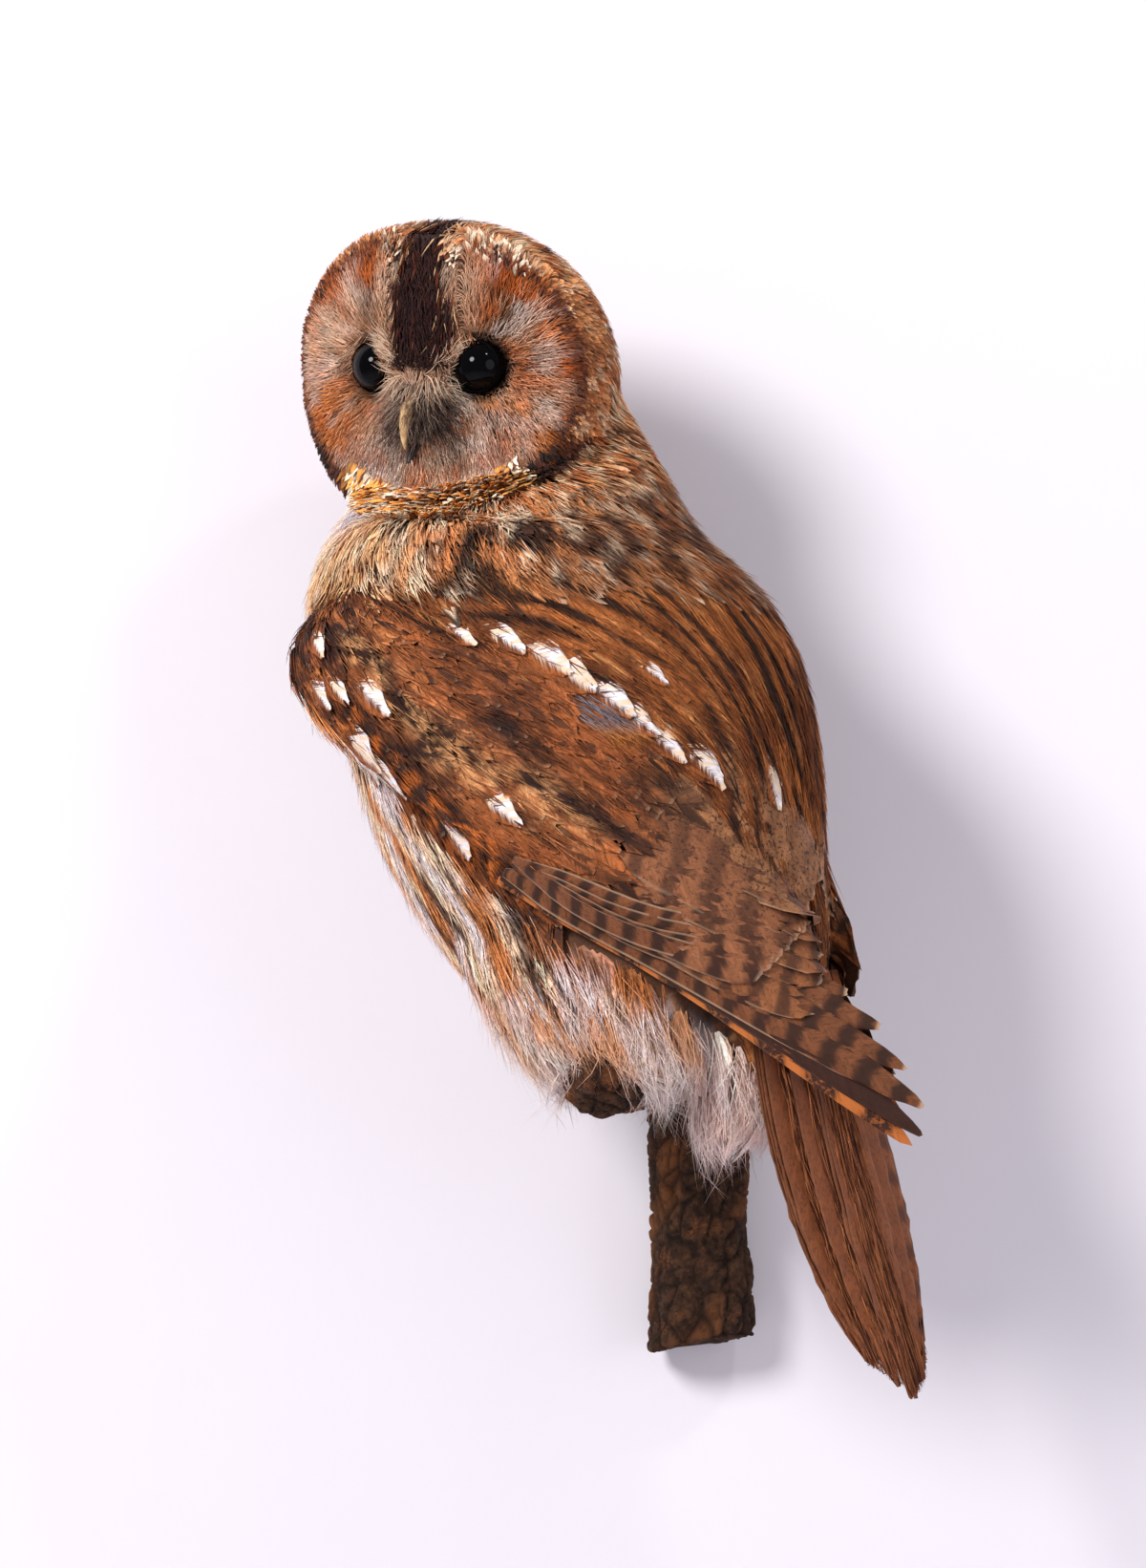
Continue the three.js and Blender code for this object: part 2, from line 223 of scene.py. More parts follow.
# Side view of the folded wing: its upper edge under the scapulars and its lower edge, z for x. WING_SIDE is
# how far from the middle it begins, y for x.
WING_TOP = ([-60, -50, -37, -25, -12, 0, 15, 30, 60, 85], [95, 112, 121, 134, 143, 154, 162, 166, 178, 186])
WING_FOOT = ([-95, -81, -42, -12, 18, 34, 56, 72, 86], [14, 30, 55, 73, 86, 97, 118, 135, 150])
WING_SIDE = ([-70, -40, 60, 90], [8, 22, 34, 28])
# The plane under the chin that parts head and neck.
CHIN = (np.array([54.0, 0, 212]), unit(np.array([0.06, 0.26, 1])))

# The lie of the feathers: a place on the left half and the way they point there.
LIE = np.array([
    [40, 30, 205, -0.15, 0.1, -1], [85, 0, 200, 0.1, 0, -1], [-5, 0, 200, -0.45, 0, -0.9],
    [25, 38, 198, -0.35, 0.2, -1], [60, 38, 204, 0.05, 0.2, -1], [20, 28, 222, -0.25, 0.1, -1],
    [75, 25, 208, 0.15, 0.1, -1], [5, 20, 205, -0.4, 0.1, -1], [50, 30, 218, 0, 0.1, -1],
    [60, 46, 191, -0.2, 0.25, -1], [35, 48, 190, -0.45, 0.1, -1], [82, 36, 192, 0.1, 0.3, -1],
    [10, 42, 192, -0.5, 0, -1], [60, 50, 178, -0.9, 0.2, -0.42], [30, 54, 170, -0.9, 0, -0.42],
    [5, 48, 176, -0.88, 0, -0.48], [-10, 55, 150, -0.85, -0.1, -0.55], [-40, 20, 160, -0.55, -0.1, -0.85],
    [-30, 40, 140, -0.7, -0.3, -0.7], [-55, 15, 120, -0.25, 0, -1], [-58, 0, 80, -0.1, 0, -1],
    [84, 45, 172, -0.5, 0.5, -0.8], [74, 60, 145, -0.7, 0.15, -0.7], [40, 66, 150, -0.82, 0, -0.57],
    [8, 66, 123, -0.84, -0.05, -0.55], [-30, 52, 96, -0.8, -0.25, -0.58], [-60, 25, 62, -0.75, -0.3, -0.6],
    [95, 10, 170, 0, 0, -1], [85, 10, 130, -0.3, 0, -0.95], [70, 20, 95, -0.5, 0, -0.86],
    [50, 40, 90, -0.55, 0, -0.84], [20, 44, 75, -0.5, 0, -0.86], [20, 25, 50, -0.4, 0, -0.92],
    [-20, 30, 60, -0.2, 0, -1], [-35, 0, 50, 0.05, 0, -1], [-35, 10, 20, 0.1, 0, -1],
], float)
LIE_SPREAD = 13.0


def side_of(points):
    return np.where(points[:, 1] < 0, -1.0, 1.0)


def lie_of(points):
    """The way the feathers point at each point of the body below the head, not yet laid on its surface."""
    half = points * [1, 0, 1] + np.abs(points) * [0, 1, 0]
    gap = ((half[:, None] - LIE[None, :, :3]) ** 2).sum(-1)
    weight = np.exp(-gap / (2 * LIE_SPREAD**2)) + 1e-9 / (gap + 1)
    way = unit(weight @ unit(LIE[:, 3:]))
    way[:, 1] *= side_of(points)
    return way


BILL_ROOT = np.array([28.0, 0, -4])


def head_lie_of(points):
    """The same for the head: out from each eye over the face, back over the crown, down behind."""
    h = to_head(points)
    x, y, z = h.T
    side = side_of(h)
    from_eye = unit((h - columns(EYE[0] + 2, side * EYE[1], EYE[2])) * [0.25, 1, 1])
    from_bill = unit((h - BILL_ROOT) * [0.25, 1, 1])
    near_bill = (bump(y, 0, 15) * smooth(22, 4, z))[:, None]
    way = from_eye * (1 - near_bill) + from_bill * near_bill * 1.6
    wedge = smooth(15, 9, np.abs(y - 2.5)) * smooth(3, 8, z)
    crown = smooth(44, 49, z)
    way = layered(way, (columns(-0.3, (3.0 - y) * 0.05, -1), wedge * (x > 0) * smooth(51, 45, z)),
                  (np.array([-1.0, 0, -0.2]), crown),
                  (columns(-0.6, 0.15 * side, -0.8), smooth(16, 6, x) * (1 - crown)))
    return unit(way) @ HEAD.T


def in_head(points):
    return (points - CHIN[0]) @ CHIN[1]


def flow(points):
    return unit(blend(lie_of(points), head_lie_of(points), smooth(-6, 3, in_head(points))))


def comb(roots, length, depth, proud, steps=6, wander=0.12, free=0.0, way=flow):
    """Centre lines laid along the body from each root: they start a depth under the form and end a little
    proud. free is how far the loosest of them leave the body for a straight line."""
    count = len(roots)
    lines = np.zeros((count, steps + 1, 3))
    normals = np.zeros_like(lines)
    at = roots.copy()
    lean = rng.normal(0, wander, (count, 1))
    for i in range(steps + 1):
        for k, point in enumerate(at):
            spot, _, face, _ = reach_tree.find_nearest(point)
            lines[k, i] = spot
            near = reach_faces[face]
            gap = 1 / (((reach[near] - lines[k, i]) ** 2).sum(1) + 0.05)
            normals[k, i] = gap @ reach_normals[near]
        normals[:, i] = unit(normals[:, i])
        here = way(lines[:, i])
        n = normals[:, i]
        here = unit(here - n * (here * n).sum(1, keepdims=True))
        here = unit(here + np.cross(n, here) * lean)
        at = lines[:, i] + here * (length / steps)[:, None]
    for _ in range(2):
        normals[:, 1:-1] = unit(normals[:, :-2] + normals[:, 1:-1] * 2 + normals[:, 2:])
    u = np.linspace(0, 1, steps + 1)[None]
    lift = -depth[:, None] * (1 - u) ** 1.7 + np.reshape(proud, (-1, 1)) * u
    if free:
        straight = lines[:, :1] + unit(lines[:, 1:2] - lines[:, :1]) * (length[:, None] * u)[..., None]
        loose = rng.random((count, 1, 1)) * free * (u ** 1.5)[..., None]
        lines = lines * (1 - loose) + straight * loose
    return lines + normals * lift[..., None], normals


def sown(mask, spacing, seed):
    """Roots spread over the part of the form where mask(points, normals) holds, about a spacing apart."""
    own = np.random.default_rng(seed)
    quad = reach[reach_faces]
    area = np.linalg.norm(np.cross(quad[:, 2] - quad[:, 0], quad[:, 3] - quad[:, 1]), axis=1) / 2
    tries = int(area.sum() / spacing**2 * 6)
    face = own.choice(len(quad), tries, p=area / area.sum())
    a, b = own.random((2, tries, 1))
    q = quad[face]
    points = (q[:, 0] * (1 - a) + q[:, 1] * a) * (1 - b) + (q[:, 3] * (1 - a) + q[:, 2] * a) * b
    points = points[mask(points, reach_flats[face])]
    cell = np.floor(points / (spacing * 1.12) + own.random(3)).astype(int)
    _, first = np.unique(cell, axis=0, return_index=True)
    return points[np.sort(first)]


def profile(*heights):
    """A function of 0 to 1 that runs through equally spaced heights."""
    x = np.linspace(0, 1, len(heights))
    return lambda u: np.interp(u, x, heights)


VANE = profile(0.3, 0.75, 0.95, 1.0, 0.9, 0.55)
LOCK = profile(0.5, 0.9, 1.0, 0.8, 0.5, 0.08)
ROUND = profile(0.2, 0.5, 0.8, 0.95, 1.0, 1.0, 1.0, 1.0, 1.0, 0.97, 0.9, 0.74)


def sampled(lines, at):
    """Points of each centre line (F, n, 3) at fractions at (F, ...)."""
    n = lines.shape[1] - 1
    x = np.clip(at, 0, 1) * n
    low = np.minimum(np.floor(x).astype(int), n - 1)
    f = (x - low)[..., None]
    row = np.arange(len(lines)).reshape((-1,) + (1,) * (at.ndim - 1))
    return lines[row, low] * (1 - f) + lines[row, low + 1] * f


def across_of(lines, normals):
    return unit(np.cross(normals, unit(np.gradient(lines, axis=1))))


def bake_places(roots, on_head):
    """Where each root lies on an unwrap of the body: round its axis and up it."""
    if on_head:
        h = to_head(roots)
        turned = np.arctan2(h[:, 1], h[:, 0] + 6)
        up = (h[:, 2] + 52) / 104
    else:
        axis = np.interp(roots[:, 2], [10, 60, 120, 190, 240], [-25, -5, 14, 38, 48])
        turned = np.arctan2(roots[:, 1], roots[:, 0] - axis)
        up = (roots[:, 2] + 5) / 300
    return np.clip(np.stack([turned / (2 * math.pi) + 0.5, up], 1), 0, 1) * 0.98 + 0.01


def two_triangles(a, b, c, d):
    return [np.stack([a, b, c], 1), np.stack([a, c, d], 1)]


FINE_PATCH = (0.003, 0.003)  # how much of the bake map a small feather takes


class Coat:
    """Closed blades gathered into one piece, with the values its feather shader reads."""

    def __init__(self):
        self.parts = []
        self.count = 0

    def add(self, lines, points, template, rim, values, where, places, patch):
        """points (F, V, 3); template (T, 3) of indices into V; rim (V,), true on the blade's edge; values by
        name, (F, 4); where: three (F, V), how far along, how far across from -1 to 1, and that in mm."""
        total, size = points.shape[:2]
        u, v, reach_mm = where
        length = np.linalg.norm(np.diff(lines, axis=1), axis=2).sum(1)
        values = dict(values)
        paint = values.pop("paint", None)
        got = {k: np.repeat(value, size, 0) for k, value in values.items()}
        got["points"] = points.reshape(-1, 3)
        got["faces"] = (template[None] + (np.arange(total) * size)[:, None, None]).reshape(-1, 3) + self.count
        got["rim"] = np.tile(rim, total)
        got["Vane"] = np.stack([u, (v + 1) / 2], 2).reshape(-1, 2)
        got["Span"] = np.stack([u * length[:, None], reach_mm], 2).reshape(-1, 2)
        spot = np.stack([(u - 0.5) * patch[0], v / 2 * patch[1]], 2)
        got["OFBake"] = (places[:, None] + spot).reshape(-1, 2)
        if paint:
            got["Tint"][:, :3] = np.clip(paint(got["points"]) * got["Tint"][:, :3], 0, 1)
        self.parts.append(got)
        self.count += total * size

    def made(self, name, slot, *nodes):
        """The coat as one piece, with its material."""
        got = {k: np.concatenate([p[k] for p in self.parts]) for k in self.parts[0]}
        thing = new_mesh(name, got["points"], got["faces"], {k: got[k] for k in ("Vane", "OFBake", "Span")},
                         {k: got[k] for k in ("Tint", "Ink", "Marks", "Spot")})
        mesh = thing.data
        edge = np.zeros(len(mesh.edges) * 2, np.int32)
        mesh.edges.foreach_get("vertices", edge)
        sharp = mesh.attributes.new("sharp_edge", "BOOLEAN", "EDGE")
        sharp.data.foreach_set("value", got["rim"][edge.reshape(-1, 2)].all(1))
        dress(thing, feathers[slot], slot, *nodes)


def vanes(coat, lines, normals, half, shape, values, places, rows=8, side=3, crown=0.25, ragged=0.12,
          thick=0.25, round_tip=0.3, patch=FINE_PATCH, roll=0.0, split=0.0, own=rng):
    """Feather vanes on centre lines: crowned, ragged at the tip, closed beneath. half is (F,) in mm."""
    total = len(lines)
    u = np.linspace(0, 1, rows)
    v = np.linspace(-1, 1, 2 * side + 1)
    width = len(v)
    jag = own.random((total, 1, width)) - 0.5
    cut = own.random((total, 1, width)) < split
    at = u[None, :, None] * (1 - round_tip * (v**2)[None, None])
    at = np.clip(at + (ragged * jag - 0.22 * cut) * (u**3)[None, :, None], 0, 1)
    n = unit(sampled(normals, at))
    s = unit(sampled(across_of(lines, normals), at))
    wide = half[:, None, None] * shape(u)[None, :, None] * np.ones_like(at)
    tilt = own.normal(0, 1, (total, 1, 1)) * roll
    flutter = own.normal(0, 0.05, at.shape) * wide * (u**2)[None, :, None]
    out = -crown * wide * (v**2)[None, None] + tilt * v[None, None] * wide + flutter
    top = sampled(lines, at) + s * (wide * v[None, None])[..., None] + n * out[..., None]
    under = top[:, :, side] - n[:, :, side] * thick
    points = np.concatenate([top.reshape(total, -1, 3), under], 1)

    # The face, then the two long sides and the two ends down to the line beneath the shaft.
    grid = np.arange(rows * width).reshape(rows, width)
    low = rows * width + np.arange(rows)
    corners = grid[:-1, :-1], grid[:-1, 1:], grid[1:, 1:], grid[1:, :-1]
    tris = two_triangles(*(corner.ravel() for corner in corners))
    tris += two_triangles(grid[:-1, 0], low[:-1], low[1:], grid[1:, 0])
    tris += two_triangles(low[:-1], grid[:-1, -1], grid[1:, -1], low[1:])
    tris.append(np.stack([grid[0, 1:], grid[0, :-1], np.full(width - 1, low[0])], 1))
    tris.append(np.stack([grid[-1, :-1], grid[-1, 1:], np.full(width - 1, low[-1])], 1))
    template = np.concatenate(tris)[:, ::-1]
    rim = np.zeros((rows, width), bool)
    rim[:, [0, -1]] = True
    rim[[0, -1]] = True
    rim = np.concatenate([rim.ravel(), np.zeros(rows, bool)])
    along = np.concatenate([at.reshape(total, -1), at[:, :, side]], 1)
    aside = np.tile(np.concatenate([np.tile(v, rows), np.zeros(rows)]), (total, 1))
    reach_mm = np.concatenate([(wide * v).reshape(total, -1), np.zeros((total, rows))], 1)
    coat.add(lines, points, template, rim, values, (along, aside, reach_mm), places, patch)


def wisps(coat, lines, normals, half, values, places, rows=5, curl=0.0, own=rng):
    """Thin three-sided tapering locks on centre lines."""
    total = len(lines)
    u = np.linspace(0, 1, rows)
    at = np.tile(u, (total, 1))
    bend = own.normal(0, 1, (total, 1)) * curl * u[None] ** 2
    lift = own.normal(0, 0.5, (total, 1)) * curl * u[None] ** 2
    n = unit(sampled(normals, at))
    s = unit(sampled(across_of(lines, normals), at))
    centre = sampled(lines, at) + s * bend[..., None] + n * np.abs(lift)[..., None]
    wide = (half[:, None] * LOCK(u)[None])[..., None]
    corners = np.stack([centre - s * wide, centre + n * wide * 0.7, centre + s * wide], 2)
    grid = np.arange(rows * 3).reshape(rows, 3)
    tris = []
    for i, j in ((0, 1), (1, 2), (2, 0)):
        tris += two_triangles(grid[:-1, i], grid[:-1, j], grid[1:, j], grid[1:, i])
    tris += [grid[0][None, ::-1], grid[-1][None]]
    template = np.concatenate(tris)[:, ::-1]
    along = np.repeat(at, 3, 1)
    aside = np.tile([-1.0, 0, 1], (total, rows))
    coat.add(lines, corners.reshape(total, -1, 3), template, np.zeros(rows * 3, bool), values,
             (along, aside, aside * half[:, None]), places, FINE_PATCH)


BAR_UNIT = 20  # a bar spacing of 1 in the Spot attribute, in mm


def marked(total, tint, ink=(0.02, 0.01, 0.008), streak=0.0, bars=0.0, mottle=0.0, fringe=0.0, spot=0.0,
           other=0.0, spacing=8.0, own=rng):
    """The shader's values for some feathers; each is one number or one a feather. spot and other are how
    white the two webs are, and spacing is that of the bars in mm."""
    def column(x):
        return np.zeros(total) + x

    def colour(x):
        return np.zeros((total, 3)) + x

    return {
        "Tint": np.column_stack([colour(tint), column(1)]),
        "Ink": np.column_stack([colour(ink), own.random(total)]),
        "Marks": np.column_stack([column(streak), column(bars), column(mottle), column(fringe)]),
        "Spot": np.column_stack([column(spot), column(other), column(spacing) / BAR_UNIT, column(0)]),
    }



# ---------------------------------------------------------------- colours
INK = srgb(36, 20, 14)
CHOCOLATE = srgb(62, 33, 24)
BROWN = srgb(128, 80, 44)
RUFOUS = srgb(186, 96, 38)
ORANGE = srgb(222, 136, 60)
TAWNY = srgb(188, 134, 86)
BUFF = srgb(214, 176, 132)
CREAM = srgb(242, 224, 198)
SLATE = srgb(96, 86, 80)
WHITE = srgb(244, 240, 246)
PALE = srgb(238, 224, 214)

# Patches of the face: [y, z, half width, half height] in the head's frame, how strong, and the colour.
FACE_PATCHES = [
    (37, 18, 10, 6, 0.5, CREAM), (21, 36, 10, 6, 1.2, RUFOUS), (33, 28, 15, 12, 1.8, RUFOUS),
    (-25, 29, 14, 13, 1.5, RUFOUS), (43, 12, 9, 15, 1.4, RUFOUS), (39, -17, 10, 8, 1.2, ORANGE),
    (26, -9, 9, 6, 1.0, ORANGE), (28, 6, 6, 7, 0.8, RUFOUS), (33, -3, 8, 4, 0.4, CREAM),
    (-34, -8, 8, 8, 1.1, ORANGE), (-28, -15, 7, 6, 0.8, ORANGE), (-36, 12, 7, 7, 0.8, CREAM),
    (20, -18, 9, 6, 0.7, PALE), (-15, -21, 9, 7, 1.0, PALE), (18, -28, 12, 4, 0.8, PALE),
    (-36, 3, 5, 4, 0.8, ORANGE), (-32, -27, 8, 5, 0.9, RUFOUS), (34, -26, 8, 5, 0.9, RUFOUS),
    (9, -5, 6, 9, 1.0, SLATE), (-7, -8, 4, 9, 0.8, SLATE), (7, -16, 6, 6, 0.8, SLATE),
    (25, 17, 7, 6, 1.0, BROWN * 0.5), (-18, 19, 4, 6, 0.8, BROWN * 0.5), (0, -31, 24, 3.5, 0.9, RUFOUS),
    (30, 11, 6, 5, 0.5, TAWNY), (-24, 20, 5, 5, 0.6, CREAM),
]
DISC = {"middle_z": 2.0, "half_width": 45.0, "half_height": 37.0}
# The dark wedge of the forehead: its half width and its middle's y, each for z.
WEDGE = ([3, 5, 8, 12, 17, 22, 28, 34, 41, 46], [1.0, 3.8, 7.0, 9.4, 10.6, 11.2, 10.8, 9.4, 7.2, 7.0])
WEDGE_AT = ([3, 20, 46], [3.4, 2.4, 1.5])


def disc_of(h):
    """0 at the middle of the facial disc and 1 at its rim, for points in the head's frame."""
    return np.hypot(h[:, 1] / DISC["half_width"], (h[:, 2] - DISC["middle_z"]) / DISC["half_height"])


def on_face(h):
    return (disc_of(h) < 1) & (h[:, 0] > 4)


def wedge_of(h):
    """1 inside the dark wedge of the forehead."""
    x, y, z = h.T
    half = np.interp(z, *WEDGE) + 1.5 * (lattice_noise(h, 2.0, 31) - 0.5)
    return smooth(0.8, -0.8, np.abs(y - np.interp(z, *WEDGE_AT)) - half) * (x > 0) * (z > 3)


def eye_gap(h):
    """The distance from the nearer eye's middle, seen from the front."""
    return np.hypot(np.abs(h[:, 1]) - EYE[1], h[:, 2] - EYE[2])


def eye_angle(h):
    """The direction from the nearer eye, from 0 outward through a right angle upward, in radians."""
    return np.arctan2(h[:, 2] - EYE[2], np.abs(h[:, 1]) - EYE[1])


def face_tint(h):
    y, z = h[:, 1], h[:, 2]
    tint = np.zeros((len(h), 3)) + srgb(212, 162, 122)
    warm = np.zeros(len(h))
    for *place, half_y, half_z, strength, colour in FACE_PATCHES:
        near = np.clip(spot_at(y, z, place, (half_y, half_z)) * strength, 0, 1)
        tint = blend(tint, colour, near)
        warm = np.maximum(warm, near) if colour is RUFOUS or colour is ORANGE else warm * (1 - near)
    blotch = lattice_noise(h, (9.0, 6.0, 4.5), 23)
    streak = lattice_noise(np.stack([eye_angle(h) * 16, eye_gap(h), np.sign(y) * 9], 1), (1.3, 7.0, 1.0), 21)
    fleck = lattice_noise(h, 2.4, 22)
    tint = layered(
        tint, (PALE, smooth(0.54, 0.75, blotch) * 0.5),
        (srgb(214, 118, 54), smooth(0.48, 0.32, blotch) * 0.5),
        (blend(srgb(242, 216, 190), srgb(222, 140, 76), warm), smooth(0.54, 0.7, streak) * 0.55))
    off_line = np.abs(y - CROWN_LINE)
    stripe = bump(off_line, np.interp(z, *WEDGE) + 3.2, 2.8) * smooth(0, 5, z)
    top = bump(z, 41, 4) * smooth(6, 9, off_line) * smooth(32, 26, y) * smooth(-14, -10, y)
    return layered(
        tint, (tint * 0.45, smooth(0.45, 0.25, 0.5 * streak + 0.5 * fleck) * 0.8),
        (srgb(120, 62, 30), smooth(0.86, 0.99, disc_of(h)) * 0.85), (srgb(222, 184, 150), stripe * 0.7),
        (CREAM, top * smooth(0.42, 0.55, fleck)), (CHOCOLATE, wedge_of(h)),
        (srgb(40, 28, 24), smooth(9.6, 7.6, eye_gap(h)) * 0.85))


def head_tint(h):
    """Crown, sides and back of the head outside the disc."""
    fleck = lattice_noise(h, (4.5, 2.4, 3.4), 33)
    return layered(
        srgb(232, 172, 116), (srgb(176, 106, 60), smooth(0.3, 0.6, lattice_noise(h, (6.0, 3.2, 4.5), 3))),
        (srgb(236, 206, 168), smooth(0.56, 0.66, fleck) * 0.9),
        (srgb(60, 36, 26), smooth(0.34, 0.27, fleck) * 0.9),
        (CHOCOLATE, smooth(9, 5, np.abs(h[:, 1] - CROWN_LINE)) * 0.85 * (h[:, 0] > -30)))


def spot_at(y, z, middle, half):
    """1 at the middle (y, z) of a spot, falling off over its half width and height."""
    return np.exp(-(((y - middle[0]) / half[0]) ** 2) - ((z - middle[1]) / half[1]) ** 2)


def rim_tint(h):
    """The ruff of short feathers round the disc: brown above, black low on both sides, gold below."""
    y, z = h[:, 1], h[:, 2]
    low = smooth(-20, -25, z) * smooth(34, 28, np.abs(y - 2))
    corners = spot_at(y, z, (36, -24), (7, 8)) + spot_at(y, z, (-38, -18), (6, 9))
    return layered(srgb(112, 62, 34), (srgb(255, 186, 102), low),
                   (srgb(26, 16, 14), np.clip(corners * 1.5, 0, 1)))


def lanes(across, along, third, sizes, seed):
    """Noise drawn out along the lie of the feathers, for dark streaks."""
    return lattice_noise(np.stack([across, along, third], 1), sizes, seed)


def near_place(p, place, spread):
    """1 at a place, falling off round it; spread is in square millimetres."""
    return np.exp(-((p - place) ** 2).sum(1) / spread)


def neck_tint(p):
    x, y, z = p.T
    across = x + 0.2 * z
    spots = lanes(across, z, y, (4.6, 10.5, 4.6), 5)
    pale = lanes(across, z, y, (4.2, 9.0, 4.2), 6)
    front = smooth(38, 62, x) * smooth(-30, 0, y)
    return layered(
        srgb(232, 164, 106), (srgb(174, 104, 60), lattice_noise(p, 10.0, 4)),
        (srgb(255, 204, 150), front * 0.9), (srgb(246, 220, 188), smooth(0.52, 0.62, pale) * 0.9),
        (srgb(40, 24, 18), smooth(0.52, 0.6, spots) * (1 - 0.85 * front) * 0.95),
        (srgb(96, 58, 36), 0.5 * smooth(20, 0, x)),
        (srgb(226, 222, 232), near_place(p, [80, 20, 202], 160)))


STREAK_GAP = 7.6  # from one dark streak of the back to the next
HUB_X, HUB_Z = 18, 102  # what the streaks of the back run round, in side view


def mantle_tint(p):
    """Rufous brown with long black-brown streaks that run in arcs round the folded wing and down the back."""
    x, y, z = p.T
    ahead = x > HUB_X
    lane = np.where(ahead, z - HUB_Z - 0.45 * (x - HUB_X), np.hypot(x - HUB_X, z - HUB_Z))
    lane = lane + 0.8 * np.clip(46 - np.abs(y), 0, 46)
    arc = np.where(ahead, 94 + x - HUB_X, np.arctan2(z - HUB_Z, HUB_X - x) * 60)
    wave = lane / STREAK_GAP + 1.6 * lanes(lane, arc, y, (15.0, 30.0, 30.0), 16)
    dash = lanes(np.round(wave) * 5.3, arc, 0 * y, (1.0, 19.0, 1.0), 18)
    fine = lanes(lane, arc, y, (1.3, 8.0, 3.0), 8)
    dark = np.cos(2 * np.pi * wave) + 2.6 * (dash - 0.5) + 1.2 * (fine - 0.5)
    patch = 0.55 * lattice_noise(p, 11.0, 7) + 0.45 * fine
    return layered(
        srgb(112, 62, 32), (srgb(182, 112, 60), smooth(0.2, 0.8, patch)),
        (srgb(28, 16, 12), smooth(0.25, 0.75, dark) * 0.93),
        (srgb(216, 158, 100), smooth(-0.5, -1.1, dark) * smooth(0.5, 0.7, fine) * 0.7),
        (srgb(50, 28, 20), smooth(183, 190, z) * 0.8 * smooth(84, 66, x) * smooth(-20, 10, x)))


def breast_tint(p):
    x, y, z = p.T
    across = 0.86 * x - 0.5 * z
    down = 0.5 * x + 0.86 * z
    patch = lanes(across, down, y, (5.0, 26.0, 5.0), 9)
    pale = lanes(across, down, y, (5.0, 13.0, 4.5), 12)
    streak = lanes(across, down, y, (2.4, 25.0, 2.8), 10)
    return layered(
        srgb(255, 222, 190), (srgb(220, 148, 90), smooth(0.4, 0.64, patch)),
        (srgb(250, 234, 234), smooth(0.47, 0.58, pale) * 0.85),
        (srgb(62, 32, 20), smooth(0.58, 0.67, streak) * 0.9), (srgb(170, 104, 56), under_primaries(p)),
        (srgb(160, 92, 46), near_place(p, [86, 30, 190], 700) * 0.6))


def wing_tint(p):
    """Mottled chocolate and rufous, with a lighter band and a barred band along the greater coverts."""
    x, y, z = p.T
    along = -0.82 * x - 0.57 * z
    across = 0.57 * x - 0.82 * z
    patch = lanes(across, along, y, (6.0, 15.0, 20.0), 13)
    mottle = lattice_noise(p, (2.0, 4.0, 2.0), 14)
    fine = lattice_noise(p, 1.2, 34)
    above_foot = z - np.interp(x, *WING_FOOT)
    on_coverts = smooth(-16, 4, x) * smooth(74, 62, x)
    light = bump(above_foot, 34, 7.5) * on_coverts * smooth(0.42, 0.62, 0.7 * mottle + 0.3 * fine)
    barred = smooth(19, 15, above_foot) * smooth(-2, 3, above_foot) * on_coverts
    ring = np.cos(2 * np.pi * (along / 8.5 + 0.9 * patch + 0.5 * mottle))
    shoulder = smooth(44, 74, x) * (1 - barred)
    return layered(
        srgb(52, 28, 18), (srgb(168, 100, 56), smooth(0.28, 0.68, 0.6 * patch + 0.3 * mottle + 0.1 * fine)),
        (srgb(222, 166, 112), light * 0.95),
        (blend(srgb(44, 25, 18), srgb(206, 118, 56), smooth(-0.1, 0.5, ring)), barred * 0.9),
        (srgb(56, 30, 21), shoulder * 0.75 * smooth(0.62, 0.46, mottle)),
        (srgb(204, 140, 84), shoulder * smooth(0.66, 0.76, 0.5 * patch + 0.5 * mottle) * 0.8),
        (srgb(126, 88, 60), smooth(-15, -40, x) * 0.7))


def on_wing(p):
    """How far a point is inside the folded wing, in mm: over 0 between its lower edge and the scapulars."""
    x, y, z = p.T
    inside = np.minimum(np.interp(x, *WING_TOP) - z, z - np.interp(x, *WING_FOOT))
    return np.minimum(inside, np.abs(y) - np.interp(x, *WING_SIDE))


def belly_side(p):
    """Over 0 on breast, flank and belly, under 0 on the back."""
    x, y, z = p.T
    front = x - np.interp(z, [20, 60, 110, 150, 190], [-45, -30, 0, 60, 72])
    between_wings = (np.abs(y) < np.interp(x, [60, 90], [34, 28])) & (front > 0)
    return np.where(between_wings, front, np.minimum(np.interp(x, *WING_FOOT) - z + 2, front))


def above_primaries(p):
    """In side view, how far a point is above the lower edge of the folded primaries, behind the legs."""
    x, y, z = p.T
    edge = np.interp(x, [-95, -72, -46, -14, 18], [14, 34, 55, 75, 88])
    return np.where((x < 16) & (np.abs(y) > 7), z - edge, -99)


def under_primaries(p):
    """The darker strip of flank that comes out from under the primaries."""
    return 0.85 * smooth(-20, -9, above_primaries(p)) * smooth(-35, -20, p[:, 0])


def skin_tint(p):
    h = to_head(p)
    body = layered(
        mantle_tint(p), (breast_tint(p), smooth(-2, 4, belly_side(p))),
        (wing_tint(p), smooth(-1, 3, on_wing(p))),
        (srgb(104, 64, 38), smooth(-11, -6, above_primaries(p))), (neck_tint(p), smooth(186, 192, p[:, 2])))
    head = layered(
        head_tint(h), (rim_tint(h), smooth(1.08, 1.03, disc_of(h)) * (h[:, 0] > 0)),
        (face_tint(h), smooth(1.03, 0.98, disc_of(h)) * (h[:, 0] > 4)))
    return blend(body, head, smooth(-2, 2, in_head(p)))


